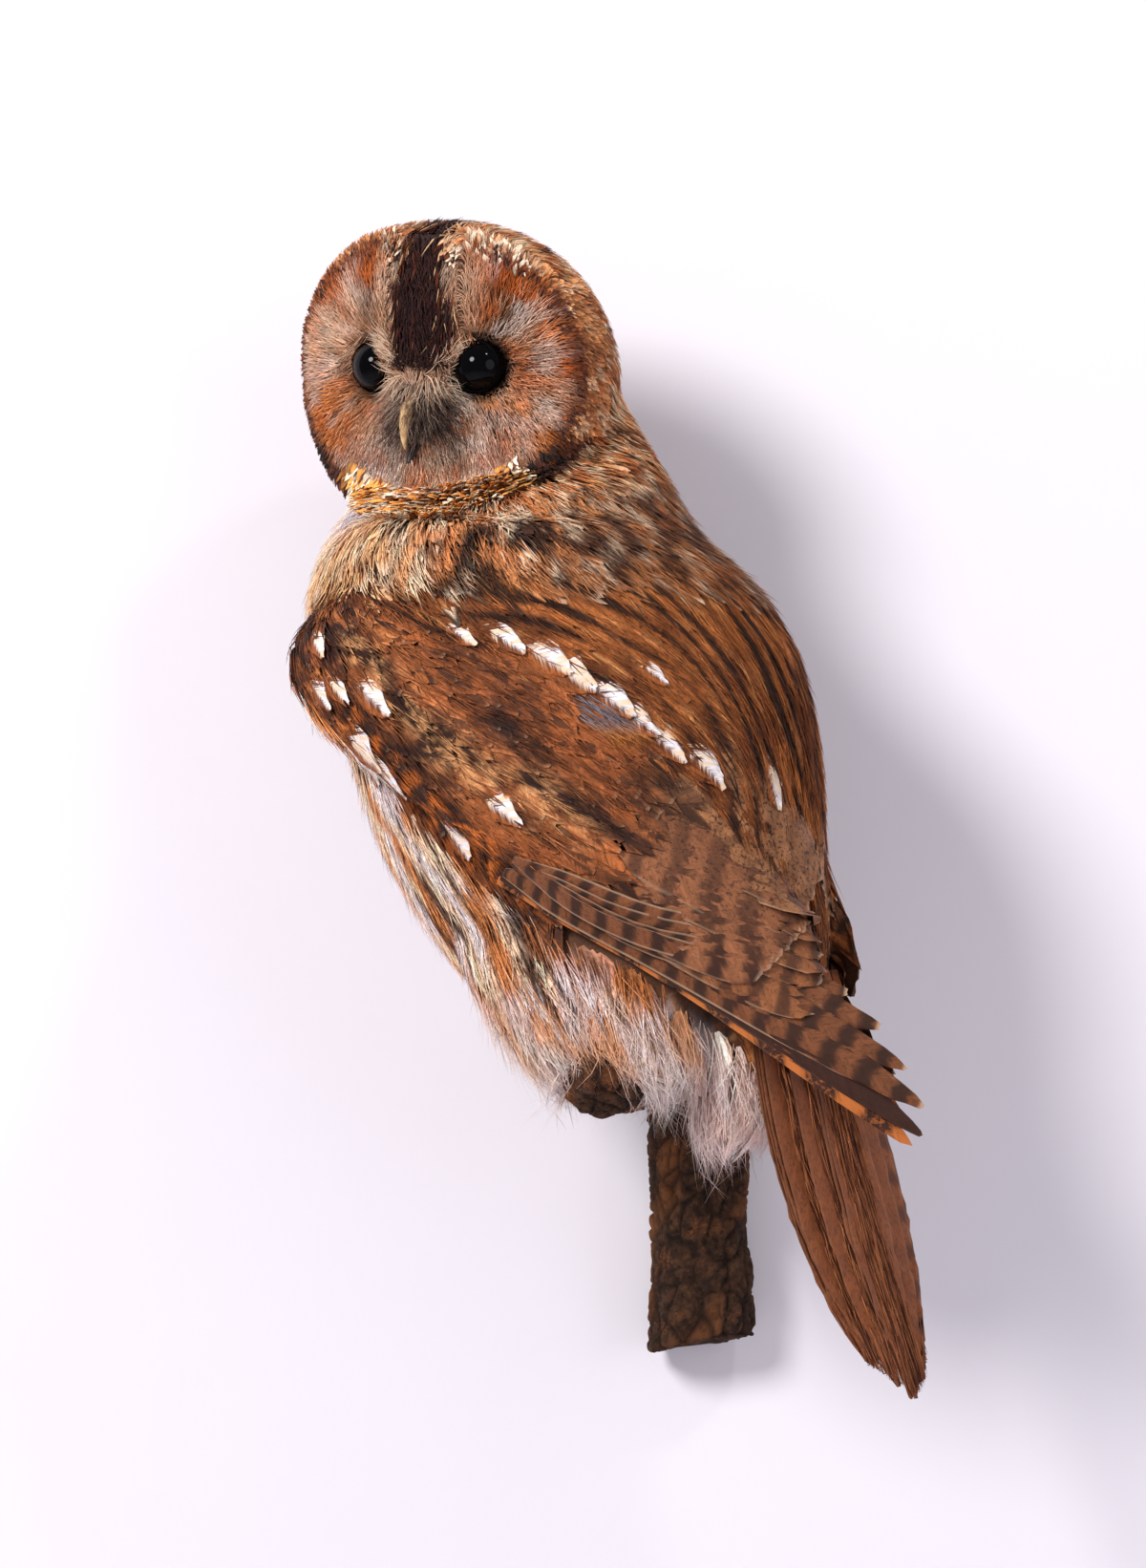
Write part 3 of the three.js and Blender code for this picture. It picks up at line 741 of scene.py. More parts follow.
# ---------------------------------------------------------------- materials
class Paint:
    """A material and short calls for its nodes."""

    def __init__(self, name):
        self.material = bpy.data.materials.new(name)
        self.material.use_nodes = True
        self.tree = self.material.node_tree
        self.shader = self.tree.nodes["Principled BSDF"]

    def put(self, socket, value):
        if isinstance(value, bpy.types.NodeSocket):
            self.tree.links.new(value, socket)
        elif isinstance(value, (list, tuple, np.ndarray)):
            value = [float(x) for x in value]
            socket.default_value = value + [1.0] if socket.type == "RGBA" and len(value) == 3 else value
        else:
            socket.default_value = value

    def node(self, kind, inputs=None, **props):
        made = self.tree.nodes.new("ShaderNode" + kind)
        for key, value in props.items():
            setattr(made, key, value)
        for key, value in (inputs or {}).items():
            self.put(made.inputs[key], value)
        return made

    def attribute(self, name):
        return self.node("Attribute", attribute_name=name)

    def split(self, colour):
        return self.node("SeparateColor", {0: colour}).outputs

    def math(self, op, *args):
        return self.node("Math", dict(enumerate(args)), operation=op).outputs[0]

    def add(self, a, b):
        return self.math("ADD", a, b)

    def less(self, a, b):
        return self.math("SUBTRACT", a, b)

    def times(self, a, b):
        return self.math("MULTIPLY", a, b)

    def line(self, value, slope, base):
        return self.math("MULTIPLY_ADD", value, slope, base)

    def step(self, value, low, high):
        """0 below low and 1 above high; low may be over high."""
        limits = {"Value": value, "From Min": low, "From Max": high}
        return self.node("MapRange", limits, interpolation_type="SMOOTHSTEP").outputs[0]

    def mix(self, factor, a, b, kind="MIX"):
        return self.node("Mix", {0: factor, 6: a, 7: b}, data_type="RGBA", blend_type=kind).outputs[2]

    def dimmed(self, colour, light):
        return self.mix(1.0, colour, self.vector(light, light, light), "MULTIPLY")

    def noise(self, vector, scale, detail=2.0, rough=0.5, warp=0.0):
        made = self.node("TexNoise", {"Vector": vector, "Scale": scale, "Detail": detail,
                                      "Roughness": rough, "Distortion": warp})
        return made.outputs["Fac"]

    def vector(self, x, y, z):
        return self.node("CombineXYZ", {"X": x, "Y": y, "Z": z}).outputs[0]

    def where(self):
        """Places on the object in mm."""
        place = self.node("TexCoord").outputs["Object"]
        return self.node("VectorMath", {0: place, "Scale": 1 / MM}, operation="SCALE").outputs[0]

    def relief(self, height, strength, distance):
        made = self.node("Bump", {"Height": height, "Strength": strength, "Distance": distance})
        self.put(self.shader.inputs["Normal"], made.outputs[0])

    def set(self, **values):
        for key, value in values.items():
            self.put(self.shader.inputs[key.replace("_", " ")], value)


def feather_paint(name, rough=0.62, barb=1.0, contrast=0.5):
    p = Paint(name)
    tint = p.attribute("Tint").outputs["Color"]
    ink, marks, spots = p.attribute("Ink"), p.attribute("Marks"), p.attribute("Spot")
    dark, seed, fringe = ink.outputs["Color"], ink.outputs["Alpha"], marks.outputs["Alpha"]
    streak, bars, mottle = p.split(marks.outputs["Color"])[:3]
    spot, other, spacing = p.split(spots.outputs["Color"])[:3]
    vane, span = (p.node("SeparateXYZ", {0: p.node("UVMap", uv_map=layer).outputs[0]}).outputs
                  for layer in ("Vane", "Span"))
    u, v, x, y = vane[0], p.line(vane[1], 2.0, -1.0), span[0], span[1]
    off, reach_out = p.math("ABSOLUTE", v), p.math("ABSOLUTE", y)
    seed_far = p.times(seed, 391.0)
    # Barbs run forward and out from the shaft.
    along = p.less(x, p.times(reach_out, 1.15))
    lines = p.noise(p.vector(p.times(along, 1.7 * barb), p.times(y, 0.22), seed_far), 1.0, 2.0, 0.6)
    coarse = p.noise(p.vector(p.times(along, 0.5), p.times(y, 0.16), seed_far), 1.0, 2.0, 0.5)
    shade = p.add(p.times(lines, 0.6), p.times(coarse, 0.4))
    fray = p.less(lines, 0.5)
    colour = p.dimmed(tint, p.line(p.step(shade, 0.32, 0.68), contrast, 1.0 - contrast * 0.5))
    # Mottling, then bars across, then a streak down the shaft.
    grain = p.noise(p.vector(p.times(x, 0.75), p.times(y, 0.75), seed_far), 1.0, 4.0, 0.72, 0.4)
    colour = p.mix(p.times(p.step(grain, 0.5, 0.62), mottle), colour, dark)
    wave = p.math("DIVIDE", p.less(x, p.times(reach_out, 0.25)), p.times(spacing, float(BAR_UNIT)))
    wave = p.add(p.add(wave, p.times(coarse, 0.35)), p.times(seed, 0.45))
    ring = p.add(p.math("SINE", p.times(wave, 2 * math.pi)), p.times(fray, 0.9))
    colour = p.mix(p.times(p.step(ring, -0.5, 0.9), bars), colour, dark)
    width = p.times(p.line(coarse, 0.5, 0.08), p.step(u, 1.05, 0.75))
    inside = p.less(width, p.add(off, p.times(fray, 0.5)))
    colour = p.mix(p.times(p.step(inside, -0.1, 0.12), streak), colour, dark)
    # White on each web, then the pale fringe of the tip.
    wavy = p.times(p.less(p.add(lines, coarse), 1.0), 0.85)
    end = p.times(p.step(p.add(u, wavy), 0.3, 0.42), p.step(u, 1.05, 0.97))
    white = p.mix(p.step(coarse, 0.4, 0.62), WHITE, srgb(238, 214, 186))
    for side_v, amount in ((v, spot), (p.times(v, -1.0), other)):
        web = p.times(p.step(p.add(side_v, wavy), -0.3, 0.15), end)
        colour = p.mix(p.times(web, amount), colour, white)
    tip_gap = p.less(p.math("DIVIDE", x, p.math("MAXIMUM", u, 0.05)), x)
    edge = p.math("MAXIMUM", p.step(tip_gap, 1.5, 0.4), p.times(p.step(off, 0.88, 0.97), 0.6))
    colour = p.mix(p.times(edge, fringe), colour, srgb(196, 166, 136))
    rich = p.node("HueSaturation", {"Hue": 0.496, "Saturation": 1.03, "Value": 1.0, "Color": colour})
    p.set(Base_Color=rich.outputs[0], Roughness=p.line(lines, 0.2, rough), Sheen_Weight=0.03,
          Sheen_Roughness=0.5, Specular_IOR_Level=0.22)
    p.relief(shade, 0.5, 0.0004)
    return p.material


def skin_paint():
    p = Paint("down_under_feathers")
    fine = p.noise(p.where(), 0.9, 4.0, 0.65)
    p.set(Base_Color=p.dimmed(p.attribute("Tint").outputs["Color"], p.line(fine, 0.8, 0.25)), Roughness=0.85)
    p.relief(fine, 0.5, 0.001)
    return p.material


def eye_paint():
    p = Paint("black_glass")
    dust = p.noise(p.where(), 0.6, 3.0)
    p.set(Base_Color=p.mix(dust, [0.0005, 0.0005, 0.001], [0.001, 0.001, 0.0015]), IOR=1.2,
          Specular_IOR_Level=0.5, Roughness=p.line(dust, 0.04, 0.02))
    return p.material


def horn_paint(name, colour, dark, rough=0.3, shine=0.3):
    p = Paint(name)
    place = p.where()
    grain = p.noise(place, 0.8, 4.0, 0.6, 0.3)
    tone = p.mix(p.step(p.noise(place, 0.25, 2.0), 0.35, 0.7), colour, dark)
    p.set(Base_Color=p.mix(p.times(grain, 0.4), tone, dark), Roughness=p.line(grain, 0.25, rough),
          Specular_IOR_Level=shine)
    p.relief(grain, 0.2, 0.0003)
    return p.material


def bark_paint():
    """Dark cork; the Tint attribute says where it is cracked, which gets painted shade, and where it is warm
    in colour.
    """
    p = Paint("cork_bark")
    place = p.where()
    crack, warm = p.split(p.attribute("Tint").outputs["Color"])[:2]
    rough = p.noise(place, 0.35, 6.0, 0.7)
    fine = p.noise(place, 1.6, 5.0, 0.75)
    patch = p.noise(place, 0.07, 3.0, 0.6)
    colour = p.mix(p.step(rough, 0.35, 0.65), srgb(44, 29, 22), srgb(84, 56, 38))
    colour = p.mix(p.times(p.step(patch, 0.54, 0.66), p.step(fine, 0.45, 0.6)), colour, srgb(128, 76, 42))
    colour = p.mix(p.times(warm, 0.5), colour, srgb(130, 78, 42))
    # Near-black in the cracks: painted shade in the fissures, laid over their cut relief.
    colour = p.mix(p.times(crack, 0.85), colour, srgb(20, 13, 11))
    p.set(Base_Color=colour, Roughness=0.9, Specular_IOR_Level=0.2)
    p.relief(p.add(p.times(rough, 0.6), p.times(fine, 0.5)), 0.8, 0.0014)
    return p.material


def dress(thing, material, slot, *nodes):
    """Gives a piece its material, says what it rides on and hides the CAD nodes it stands for; slot is not
    used.
    """
    thing.data.materials.append(material)
    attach(thing, "root")
    if nodes:
        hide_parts(*nodes)


feathers = {
    "head_feathers": feather_paint("facial_feathers", barb=1.6, contrast=0.65),
    "neck_feathers": feather_paint("neck_feathers", barb=1.3, contrast=0.7),
    "body_feathers": feather_paint("body_feathers", contrast=0.75),
    "wing_feathers": feather_paint("wing_coverts", contrast=0.7),
    "flight_feathers": feather_paint("flight_feathers", rough=0.55, barb=1.4, contrast=0.55),
    "tail_feathers": feather_paint("tail_feathers", rough=0.58, barb=1.4, contrast=0.35),
    "trouser_feathers": feather_paint("trouser_down", barb=1.2, contrast=0.5),
    "foot_down": feather_paint("foot_down", barb=1.4, contrast=0.4),
}


# ---------------------------------------------------------------- skin
FACE_DEPTH, HEAD_DEPTH, BODY_DEPTH = 2.2, 3.0, 4.0


def depth_at(points):
    """How far the skin lies under the tips of the feathers, in mm: least on the face, feet and wing tips."""
    h = to_head(points)
    face = (disc_of(h) < 1.1) & (h[:, 0] > 0)
    wing_tip = smooth(-30, -60, points[:, 0]) * smooth(0, 3, on_wing(points))
    body = BODY_DEPTH - 2.5 * wing_tip - 1.5 * smooth(45, 20, points[:, 2])
    return np.where(in_head(points) > 0, np.where(face, FACE_DEPTH, HEAD_DEPTH), body)


form_normals, _ = point_normals(form, form_faces)
skin = new_mesh("skin", form - form_normals * depth_at(form)[:, None], form_faces,
                colours={"Tint": opaque(skin_tint(form))})
dress(skin, skin_paint(), "body_feathers", *FLESH)


# ---------------------------------------------------------------- the coat
def varied(tint, amount=0.14, own=rng):
    return tint * (1 + own.normal(0, amount, (len(tint), 1))).clip(0.4, 1.6)


def each(value, roots):
    """One number a root, from a rule or a plain number."""
    return value(roots) if callable(value) else np.full(len(roots), float(value))


def tract(coat, mask, spacing, seed, length, half, tint, kind=vanes, depth=3.0, proud=0.3, head=False,
          spread=0.2, wander=0.1, steps=6, vary=0.12, marks=None, painted=False, free=0.0, way=flow, **how):
    """One tract of feathers: sown over mask, combed along the body, and laid as vanes or wisps. A painted
    tract takes its tint at every point and not only at its roots."""
    roots = sown(mask, spacing, seed)
    count = len(roots)
    own = np.random.default_rng(seed + 500)
    lengths = each(length, roots) * (1 + own.normal(0, spread, count)).clip(0.5, 1.5)
    lines, normals = comb(roots, lengths, each(depth, roots), each(proud, roots), steps, wander, free, way)
    size = each(half, roots) * (1 + own.normal(0, 0.15, count)).clip(0.5, 1.5)
    told = marks(roots, own) if marks else {}
    given = marked(count, varied(np.ones((count, 3)) if painted else tint(roots), vary, own), own=own, **told)
    if painted:
        given["paint"] = tint
    if kind is vanes:
        how["shape"] = VANE
    kind(coat, lines, normals, size, values=given, places=bake_places(roots, head), own=own, **how)


def face_mask(p, n):
    h = to_head(p)
    x, y, z = h.T
    bill = (np.abs(y) < 1.6) & (z < -5) & (z > -22) & (x > 20)
    return (in_head(p) > 0) & on_face(h) & (eye_gap(h) > 7.6) & ~bill & (wedge_of(h) < 0.5) & \
        ((disc_of(h) < 0.89) | (z > -22))


def face_ink(roots, own):
    return {"ink": srgb(60, 45, 40), "mottle": (own.random(len(roots)) < 0.15) * 0.8}


HAIRLIKE = {"kind": wisps, "head": True, "steps": 4, "rows": 4}
gap_at = by_head(eye_gap)
ring_at = by_head(disc_of)
height_on_head = by_head(lambda h: h[:, 2])

for name, side, seed in (("coat_face_left", 1, 21), ("coat_face_right", -1, 41)):
    coat = Coat()
    tract(coat, lambda p, n: face_mask(p, n) & (to_head(p)[:, 1] * side > 0), 0.66, seed,
          ramp(gap_at, [7.5, 10, 20, 30], [2.8, 4.6, 7.5, 7.5]), ramp(gap_at, [8, 14, 30], [0.14, 0.2, 0.25]),
          by_head(face_tint), depth=1.4, proud=ramp(ring_at, [0.8, 1], [0.6, 1.8]), wander=0.2, curl=0.7,
          marks=face_ink, vary=0.22, **HAIRLIKE)
    coat.made(name, "head_feathers")


def bristle_lie(points):
    """Beside the bill the bristles run down along it; above and beyond they fan out from its root."""
    h = to_head(points)
    fan = unit(columns(0.2, side_of(h) * 0.8, 0.6))
    down = unit(columns(0.25, 0.012 * h[:, 1] * np.abs(h[:, 1]), -1))
    return unit(blend(fan, down, smooth(3.5, 0.5, h[:, 2]))) @ HEAD.T


def bristle_mask(p, n):
    h = to_head(p)
    y, z, far = np.abs(h[:, 1]), h[:, 2], h[:, 1] < 0
    beside_bill = (y < np.where(far, 6.5, 8.5)) & (z < np.interp(y, [2, 5], [0, 3])) & (z > -12) & \
        ((y > 0.8) | (z > -7))
    brow = (y > 2.5) & (y < 11) & (z > 2) & (z < 11) & (wedge_of(h) < 0.5)
    return (in_head(p) > 0) & (h[:, 0] > 4) & (eye_gap(h) > np.where(far, 7.9, 7.0)) & (beside_bill | brow)


def bristle_tint(h):
    pick = np.random.default_rng(8).random(len(h))[:, None]
    low = np.where(pick < 0.72, srgb(92, 72, 62), srgb(176, 152, 134))
    # The near side's bristles are darkened and the far side's lightened: painted shade on the side away from
    # the light, painted light on the side towards it.
    low = low * np.where(h[:, 1] > 0, 0.5, 1.1)[:, None]
    brow = np.where(pick < 0.75, srgb(222, 194, 166), srgb(140, 84, 48))
    return blend(low, brow, smooth(-3, 3, h[:, 2]))


def bristle_lift(h):
    return np.where(h[:, 2] < 2.5, np.interp(np.abs(h[:, 1]), [0, 3, 8], [8.0, 7.0, 2.4]), 3.2)


def brow_mask(p, n):
    """A ring round each eye, from over it to its inner corner, longer round the far eye."""
    h = to_head(p)
    far = h[:, 1] < 0
    angle = np.degrees(eye_angle(h))
    arc = (angle > np.where(far, 15, 95)) & (angle < np.where(far, 150, 178))
    return (in_head(p) > 0) & (h[:, 0] > 4) & (eye_gap(h) > 7.7) & (eye_gap(h) < 11.0) & arc


def brow_lie(points):
    return unit(columns(0.35, side_of(to_head(points)) * 0.5, -0.9)) @ HEAD.T


def brow_tint(p):
    pick = np.random.default_rng(9).random(len(p))[:, None]
    dark = np.where(pick < 0.8, srgb(150, 98, 62), srgb(70, 46, 36))
    return np.where(pick < 0.45, srgb(216, 178, 146), dark)


lores = Coat()
tract(lores, bristle_mask, 0.56, 42, ramp(height_on_head, [0, 4], [9.0, 7.0]), 0.16, by_head(bristle_tint),
      depth=1.0, proud=by_head(bristle_lift), wander=0.24, curl=0.9, vary=0.22, way=bristle_lie,
      **{**HAIRLIKE, "rows": 5})
tract(lores, brow_mask, 0.7, 46, by_head(lambda h: np.where(h[:, 1] < 0, 6.6, 4.4)), 0.17, brow_tint,
      depth=0.8, proud=3.0, wander=0.2, curl=0.5, vary=0.2, way=brow_lie, **HAIRLIKE)
lores.made("coat_lores", "head_feathers")


def wedge_mask(p, n):
    h = to_head(p)
    return (in_head(p) > 0) & (h[:, 2] > 4) & (wedge_of(h) >= 0.5) & (eye_gap(h) > 8)


def wedge_tint(h):
    pick = np.random.default_rng(5).random(len(h))[:, None]
    edge = smooth(-4, -1, np.abs(h[:, 1] - CROWN_LINE) - np.interp(h[:, 2], *WEDGE))[:, None]
    tint = np.where(pick < 0.03 + 0.35 * edge, srgb(104, 50, 26), srgb(50, 25, 20))
    return np.where((pick > 0.88) & (edge > 0.4), BUFF, tint)


def nape_mask(p, n):
    h = to_head(p)
    return (in_head(p) > -3) & (disc_of(h) > np.where(h[:, 0] > 4, 1.1, 0)) & ~wedge_mask(p, n)


def inked(ink=INK, **marks):
    """Marks for a tract: plain numbers, or rules of one random number from 0 to 1 a feather."""
    def told(roots, own):
        return {"ink": ink, **{k: m(own.random(len(roots))) if callable(m) else m for k, m in marks.items()}}

    return told


crown = Coat()
tract(crown, wedge_mask, 0.95, 22, 12.0, 0.36, by_head(wedge_tint), kind=wisps, depth=2.0,
      proud=ramp(height_on_head, [32, 44], [1.9, 0.3]), head=True, wander=0.22, rows=5, curl=1.3, vary=0.25,
      marks=inked())
tract(crown, nape_mask, 3.3, 23, 10.5, 2.5, by_head(lambda h: blend(head_tint(h), srgb(186, 122, 76), 0.5)),
      depth=2.6, proud=0.2, head=True, rows=6, side=1, ragged=0.4, split=0.25, roll=0.15,
      marks=inked(streak=lambda r: r * 0.5, mottle=0.2, fringe=0.12))
crown.made("coat_crown", "head_feathers")
nape = Coat()
tract(nape, nape_mask, 1.75, 43, 7, 0.3, by_head(head_tint), depth=0.8, proud=0.9, curl=0.6, vary=0.25,
      painted=True, **HAIRLIKE)
nape.made("coat_nape", "head_feathers")


def ruff_mask(p, n):
    h = to_head(p)
    ring = disc_of(h)
    inner = np.where((h[:, 2] < -22) & (np.abs(h[:, 1] - 2) < 28), 0.88, 0.98)
    return (in_head(p) > -5) & (ring > inner) & (ring < 1.13) & (h[:, 0] > -2) & ~wedge_mask(p, n)


def ruff_tint(h):
    """The rim's colours with pale and dark feathers among them, and the side of the head's beyond."""
    y, z = h[:, 1], h[:, 2]
    pick = np.random.default_rng(6).random(len(h))
    low = (z < -20) & (np.abs(y - 2) < 30)
    beyond = (disc_of(h) > 1.04) & (z > -16)
    top = (z > 28) & (np.minimum(np.abs(y - 22) - 11, np.abs(y + 9) - 5) < 0) & (pick < 0.45)
    tint = rim_tint(h)
    side_tint = blend(head_tint(h), srgb(196, 128, 78), 0.5)
    for where, colour in (
            (low & (pick < 0.36), srgb(255, 240, 214)), (low & (pick > 0.85), srgb(120, 66, 30)),
            (~low & (pick > 0.7), CHOCOLATE), (beyond, side_tint), (top, srgb(240, 218, 190))):
        tint = np.where(where[:, None], colour, tint)
    return tint


ruff = Coat()
tract(ruff, ruff_mask, 1.35, 24, ramp(height_on_head, [-26, -16], [5.4, 4.2]), 1.15, by_head(ruff_tint),
      depth=0.8, proud=ramp(height_on_head, [-26, -16], [3.0, 2.0]), head=True, wander=0.3, rows=5, side=1,
      ragged=0.3, roll=0.3, vary=0.2, marks=inked(mottle=0.15))
ruff.made("coat_ruff", "head_feathers")


def neck_mask(p, n):
    return (in_head(p) < 2) & (p[:, 2] > 183)


def mantle_mask(p, n):
    x, y, z = p.T
    over_wing = z - np.interp(x, *WING_TOP) > -3
    between_wings = (np.interp(x, *WING_SIDE) - np.abs(y) > -3) & (z - np.interp(x, *WING_FOOT) > 0)
    return (in_head(p) < 0) & (z <= 190) & (z > 48) & (belly_side(p) < 2) & (over_wing | between_wings)


def covert_mask(p, n):
    end = np.interp(p[:, 2], [70, 84, 100, 115, 135], [30, 16, 6, -12, -30])
    return (in_head(p) < 0) & (on_wing(p) >= -1) & (p[:, 0] > end)


def gap_mask(p, n):
    """The blue-grey gap among the scapulars."""
    return (on_wing(p) > -2) & (np.hypot(p[:, 0] + 8, (p[:, 2] - 144) * 1.2) < 6.5)


def gap_tint(p):
    return blend(srgb(132, 122, 128), srgb(206, 136, 70), smooth(140, 134, p[:, 2]))


def breast_mask(p, n):
    x, y, z = p.T
    under_wing = (np.interp(x, *WING_FOOT) - z > 0) | (np.abs(y) < 26)
    return (in_head(p) < 0) & (z <= 188) & (z > 62) & (on_wing(p) < -1) & (belly_side(p) > -4) & \
        under_wing & (above_primaries(p) < -6)


def down_mask(p, n):
    x, _, z = p.T
    under = above_primaries(p) < np.interp(x, [-50, -30, 0], [-16, -11, -6])
    return (z <= 72) & (z > 24) & (x > -60) & (on_wing(p) < -1) & under


def down_tint(p):
    x, y, z = p.T
    across = 0.9 * x - 0.4 * z
    down = 0.4 * x + 0.9 * z
    patch = lanes(across, down, y, (5.0, 22.0, 7.0), 15)
    dark = lanes(across, down, y, (3.0, 20.0, 5.0), 17)
    return layered(
        srgb(255, 230, 218), (srgb(244, 186, 140), smooth(0.4, 0.7, patch)),
        (srgb(200, 128, 66), smooth(44, 68, z) * 0.6), (srgb(150, 110, 88), smooth(0.68, 0.82, dark) * 0.5),
        (srgb(176, 112, 64), under_primaries(p)), (srgb(255, 234, 230), smooth(46, 26, z) * 0.7))


def foot_mask(p, n):
    x, y, z = p.T
    return (z <= 56) & (np.abs(np.abs(y) - 26) < 20) & (np.abs(x) < 22)


def foot_tint(p):
    return blend(CREAM, TAWNY, lattice_noise(p, 5.0))


def forward(p):
    return p[:, 0]


# Each piece of the body's coat: its name, its slot, and its tracts as the arguments of tract().
BODY_COAT = (
    ("coat_neck", "neck_feathers", (
        (neck_mask, 4.0, 25, 17, 2.6, neck_tint, dict(
            depth=3.0, proud=0.6, rows=7, side=2, ragged=0.5, split=0.5, roll=0.2, free=0.3,
            marks=inked(CHOCOLATE, streak=lambda r: (r < 0.3) * 0.8))),
        (neck_mask, 1.75, 26, 13, 0.3, neck_tint, dict(
            kind=wisps, depth=0.8, proud=1.3, steps=4, rows=4, curl=1.3, vary=0.22, free=0.3)))),
    ("coat_mantle", "body_feathers", (
        (mantle_mask, 5.0, 27, 28, 4.2, mantle_tint, dict(
            depth=2.6, proud=0.0, rows=9, side=2, ragged=0.4, split=0.4, crown=0.2, roll=0.08, free=0.08,
            marks=inked(mottle=0.35))),
        (mantle_mask, 2.15, 44, 15, 0.26, mantle_tint, dict(
            kind=wisps, depth=0.6, proud=0.5, steps=4, rows=4, curl=1.0, vary=0.22, free=0.2)))),
    ("coat_wing", "wing_feathers", (
        (covert_mask, 4.3, 28, ramp(forward, [0, 60], [24, 15]), ramp(forward, [0, 60, 80], [4.6, 3.6, 2.2]),
         wing_tint, dict(depth=2.2, proud=0.2, rows=9, side=2, ragged=0.35, split=0.3, crown=0.2, roll=0.1,
                         vary=0.16, marks=inked(mottle=0.25, fringe=0.2, streak=lambda r: 0.7 * (r < 0.5)))),
        (covert_mask, 2.3, 45, 11, 0.22, wing_tint, dict(
            kind=wisps, depth=0.5, proud=0.5, steps=4, rows=4, curl=0.9, vary=0.25)),
        (gap_mask, 0.95, 47, 14, 0.17, gap_tint, dict(
            kind=wisps, depth=0.3, proud=1.0, steps=4, rows=4, curl=1.2, vary=0.25)))),
    ("coat_breast", "body_feathers", (
        (breast_mask, 5.0, 29, 24, 3.4, breast_tint, dict(
            depth=3.4, proud=0.4, rows=8, side=2, ragged=0.5, split=0.45, roll=0.15, free=0.15)),
        (breast_mask, 1.9, 30, 17, 0.28, breast_tint, dict(
            kind=wisps, depth=0.8, proud=1.0, steps=5, rows=5, curl=1.8, vary=0.2, free=0.3)))),
    ("coat_trousers", "trouser_feathers", (
        (down_mask, 1.8, 31, ramp(forward, [-45, -20], [15, 24]), 0.18, down_tint, dict(
            kind=wisps, depth=2.0, proud=1.8, steps=5, rows=6, curl=3.6, vary=0.14, wander=0.2, free=0.75)),
        (down_mask, 5.0, 32, 22, 2.2, down_tint, dict(
            depth=3.0, proud=0.3, rows=7, side=1, ragged=0.6, split=0.5, free=0.3)))),
    ("coat_feet", "foot_down", (
        (foot_mask, 1.7, 33, 5, 0.3, foot_tint, dict(
            kind=wisps, depth=0.8, proud=0.5, steps=4, rows=4, curl=0.6, vary=0.2, painted=False)),)),
)
for name, slot, tracts in BODY_COAT:
    coat = Coat()
    for *laid_out, how in tracts:
        tract(coat, *laid_out, **{"painted": True, **how})
    coat.made(name, slot)

# ---------------------------------------------------------------- white-webbed feathers
# Where the white of each scapular and covert lies in side view, [x, z], with its feather's half width.
WHITE_WEBS = np.array([
    (31, 164, 3.6), (17, 162, 4.4), (4, 156, 5.6), (-3, 151, 6.0), (-14, 144, 5.4), (-21, 138, 4.6),
    (-28, 131, 5.0), (-38, 124, 5.0), (-51, 119, 5.0), (-24, 152, 3.0), (77, 162, 3.2), (75, 146, 3.2),
    (68, 147, 3.2), (56, 145, 5.0), (71, 131, 5.2), (67, 126, 5.0), (61, 129, 5.4), (54, 121, 5.0),
    (35, 105, 5.6), (15, 112, 4.2),
], float)
webs = Coat()
for side in (1, -1):
    count = len(WHITE_WEBS)
    level = np.array([reach_tree.ray_cast((x, side * 130, z), (0, -side, 0))[0] for x, z, _ in WHITE_WEBS])
    sizes = np.interp(WHITE_WEBS[:, 2], [2.4, 5.2], [12, 21])
    behind = unit(lie_of(level)) * -15.0
    lines, normals = comb(level + behind * (sizes / 22)[:, None], sizes, np.full(count, 0.6), 1.5, wander=0.0)
    tint = varied(np.zeros((count, 3)) + srgb(150, 88, 46), 0.1)
    white = {"spot": 0.88} if side > 0 else {"other": 0.88}
    given = marked(count, tint, ink=INK, streak=0.5, mottle=0.4, **white)
    vanes(webs, lines, normals, WHITE_WEBS[:, 2] * 1.12, VANE, given, bake_places(level, False), rows=14,
          side=5, crown=0.25, ragged=0.1, thick=0.3, split=0.12, patch=(0.012, 0.012))
webs.made("coat_white_webs", "wing_feathers")


# ---------------------------------------------------------------- flight feathers and tail
def bowed(a, b, c, count=13):
    """Points on the curve through three control points each (F, 3), at its ends and middle."""
    t = np.linspace(0, 1, count)[None, :, None]
    mid = 2 * b - (a + c) / 2
    return (1 - t) ** 2 * a[:, None] + 2 * t * (1 - t) * mid[:, None] + t**2 * c[:, None]


def lifts(paths, low, high):
    """How far each point of some paths is lifted, running from low at its root to high at its tip."""
    u = np.linspace(0, 1, paths.shape[1])
    return (low[:, None] * (1 - u) + high[:, None] * u)[..., None]


def laid(paths, low, high):
    """Paths laid on the form, with their lift running from low to high."""
    lines = np.zeros_like(paths)
    normals = np.zeros_like(paths)
    for f, path in enumerate(paths):
        for k, point in enumerate(path):
            spot, _, face, _ = reach_tree.find_nearest(point)
            lines[f, k] = spot
            normals[f, k] = reach_normals[reach_faces[face]].mean(0)
    for _ in range(3):
        normals[:, 1:-1] = unit(normals[:, :-2] + normals[:, 1:-1] + normals[:, 2:])
        lines[:, 1:-1] = (lines[:, :-2] + 2 * lines[:, 1:-1] + lines[:, 2:]) / 4
    return lines + unit(normals) * lifts(paths, low, high), unit(normals)


def stacked(paths, side, low, high):
    """The primaries: closed on each other like a fan, each a little proud of the one outside it."""
    u = np.linspace(0, 1, paths.shape[1])[None, :, None]
    normals = (1 - u) * np.array([-0.2, 0.97 * side, -0.05]) + u * np.array([-0.55, 0.8 * side, 0.25])
    ahead = unit(np.gradient(paths, axis=1))
    normals = unit(normals - ahead * (normals * ahead).sum(-1, keepdims=True))
    return paths + normals * lifts(paths, low, high), normals


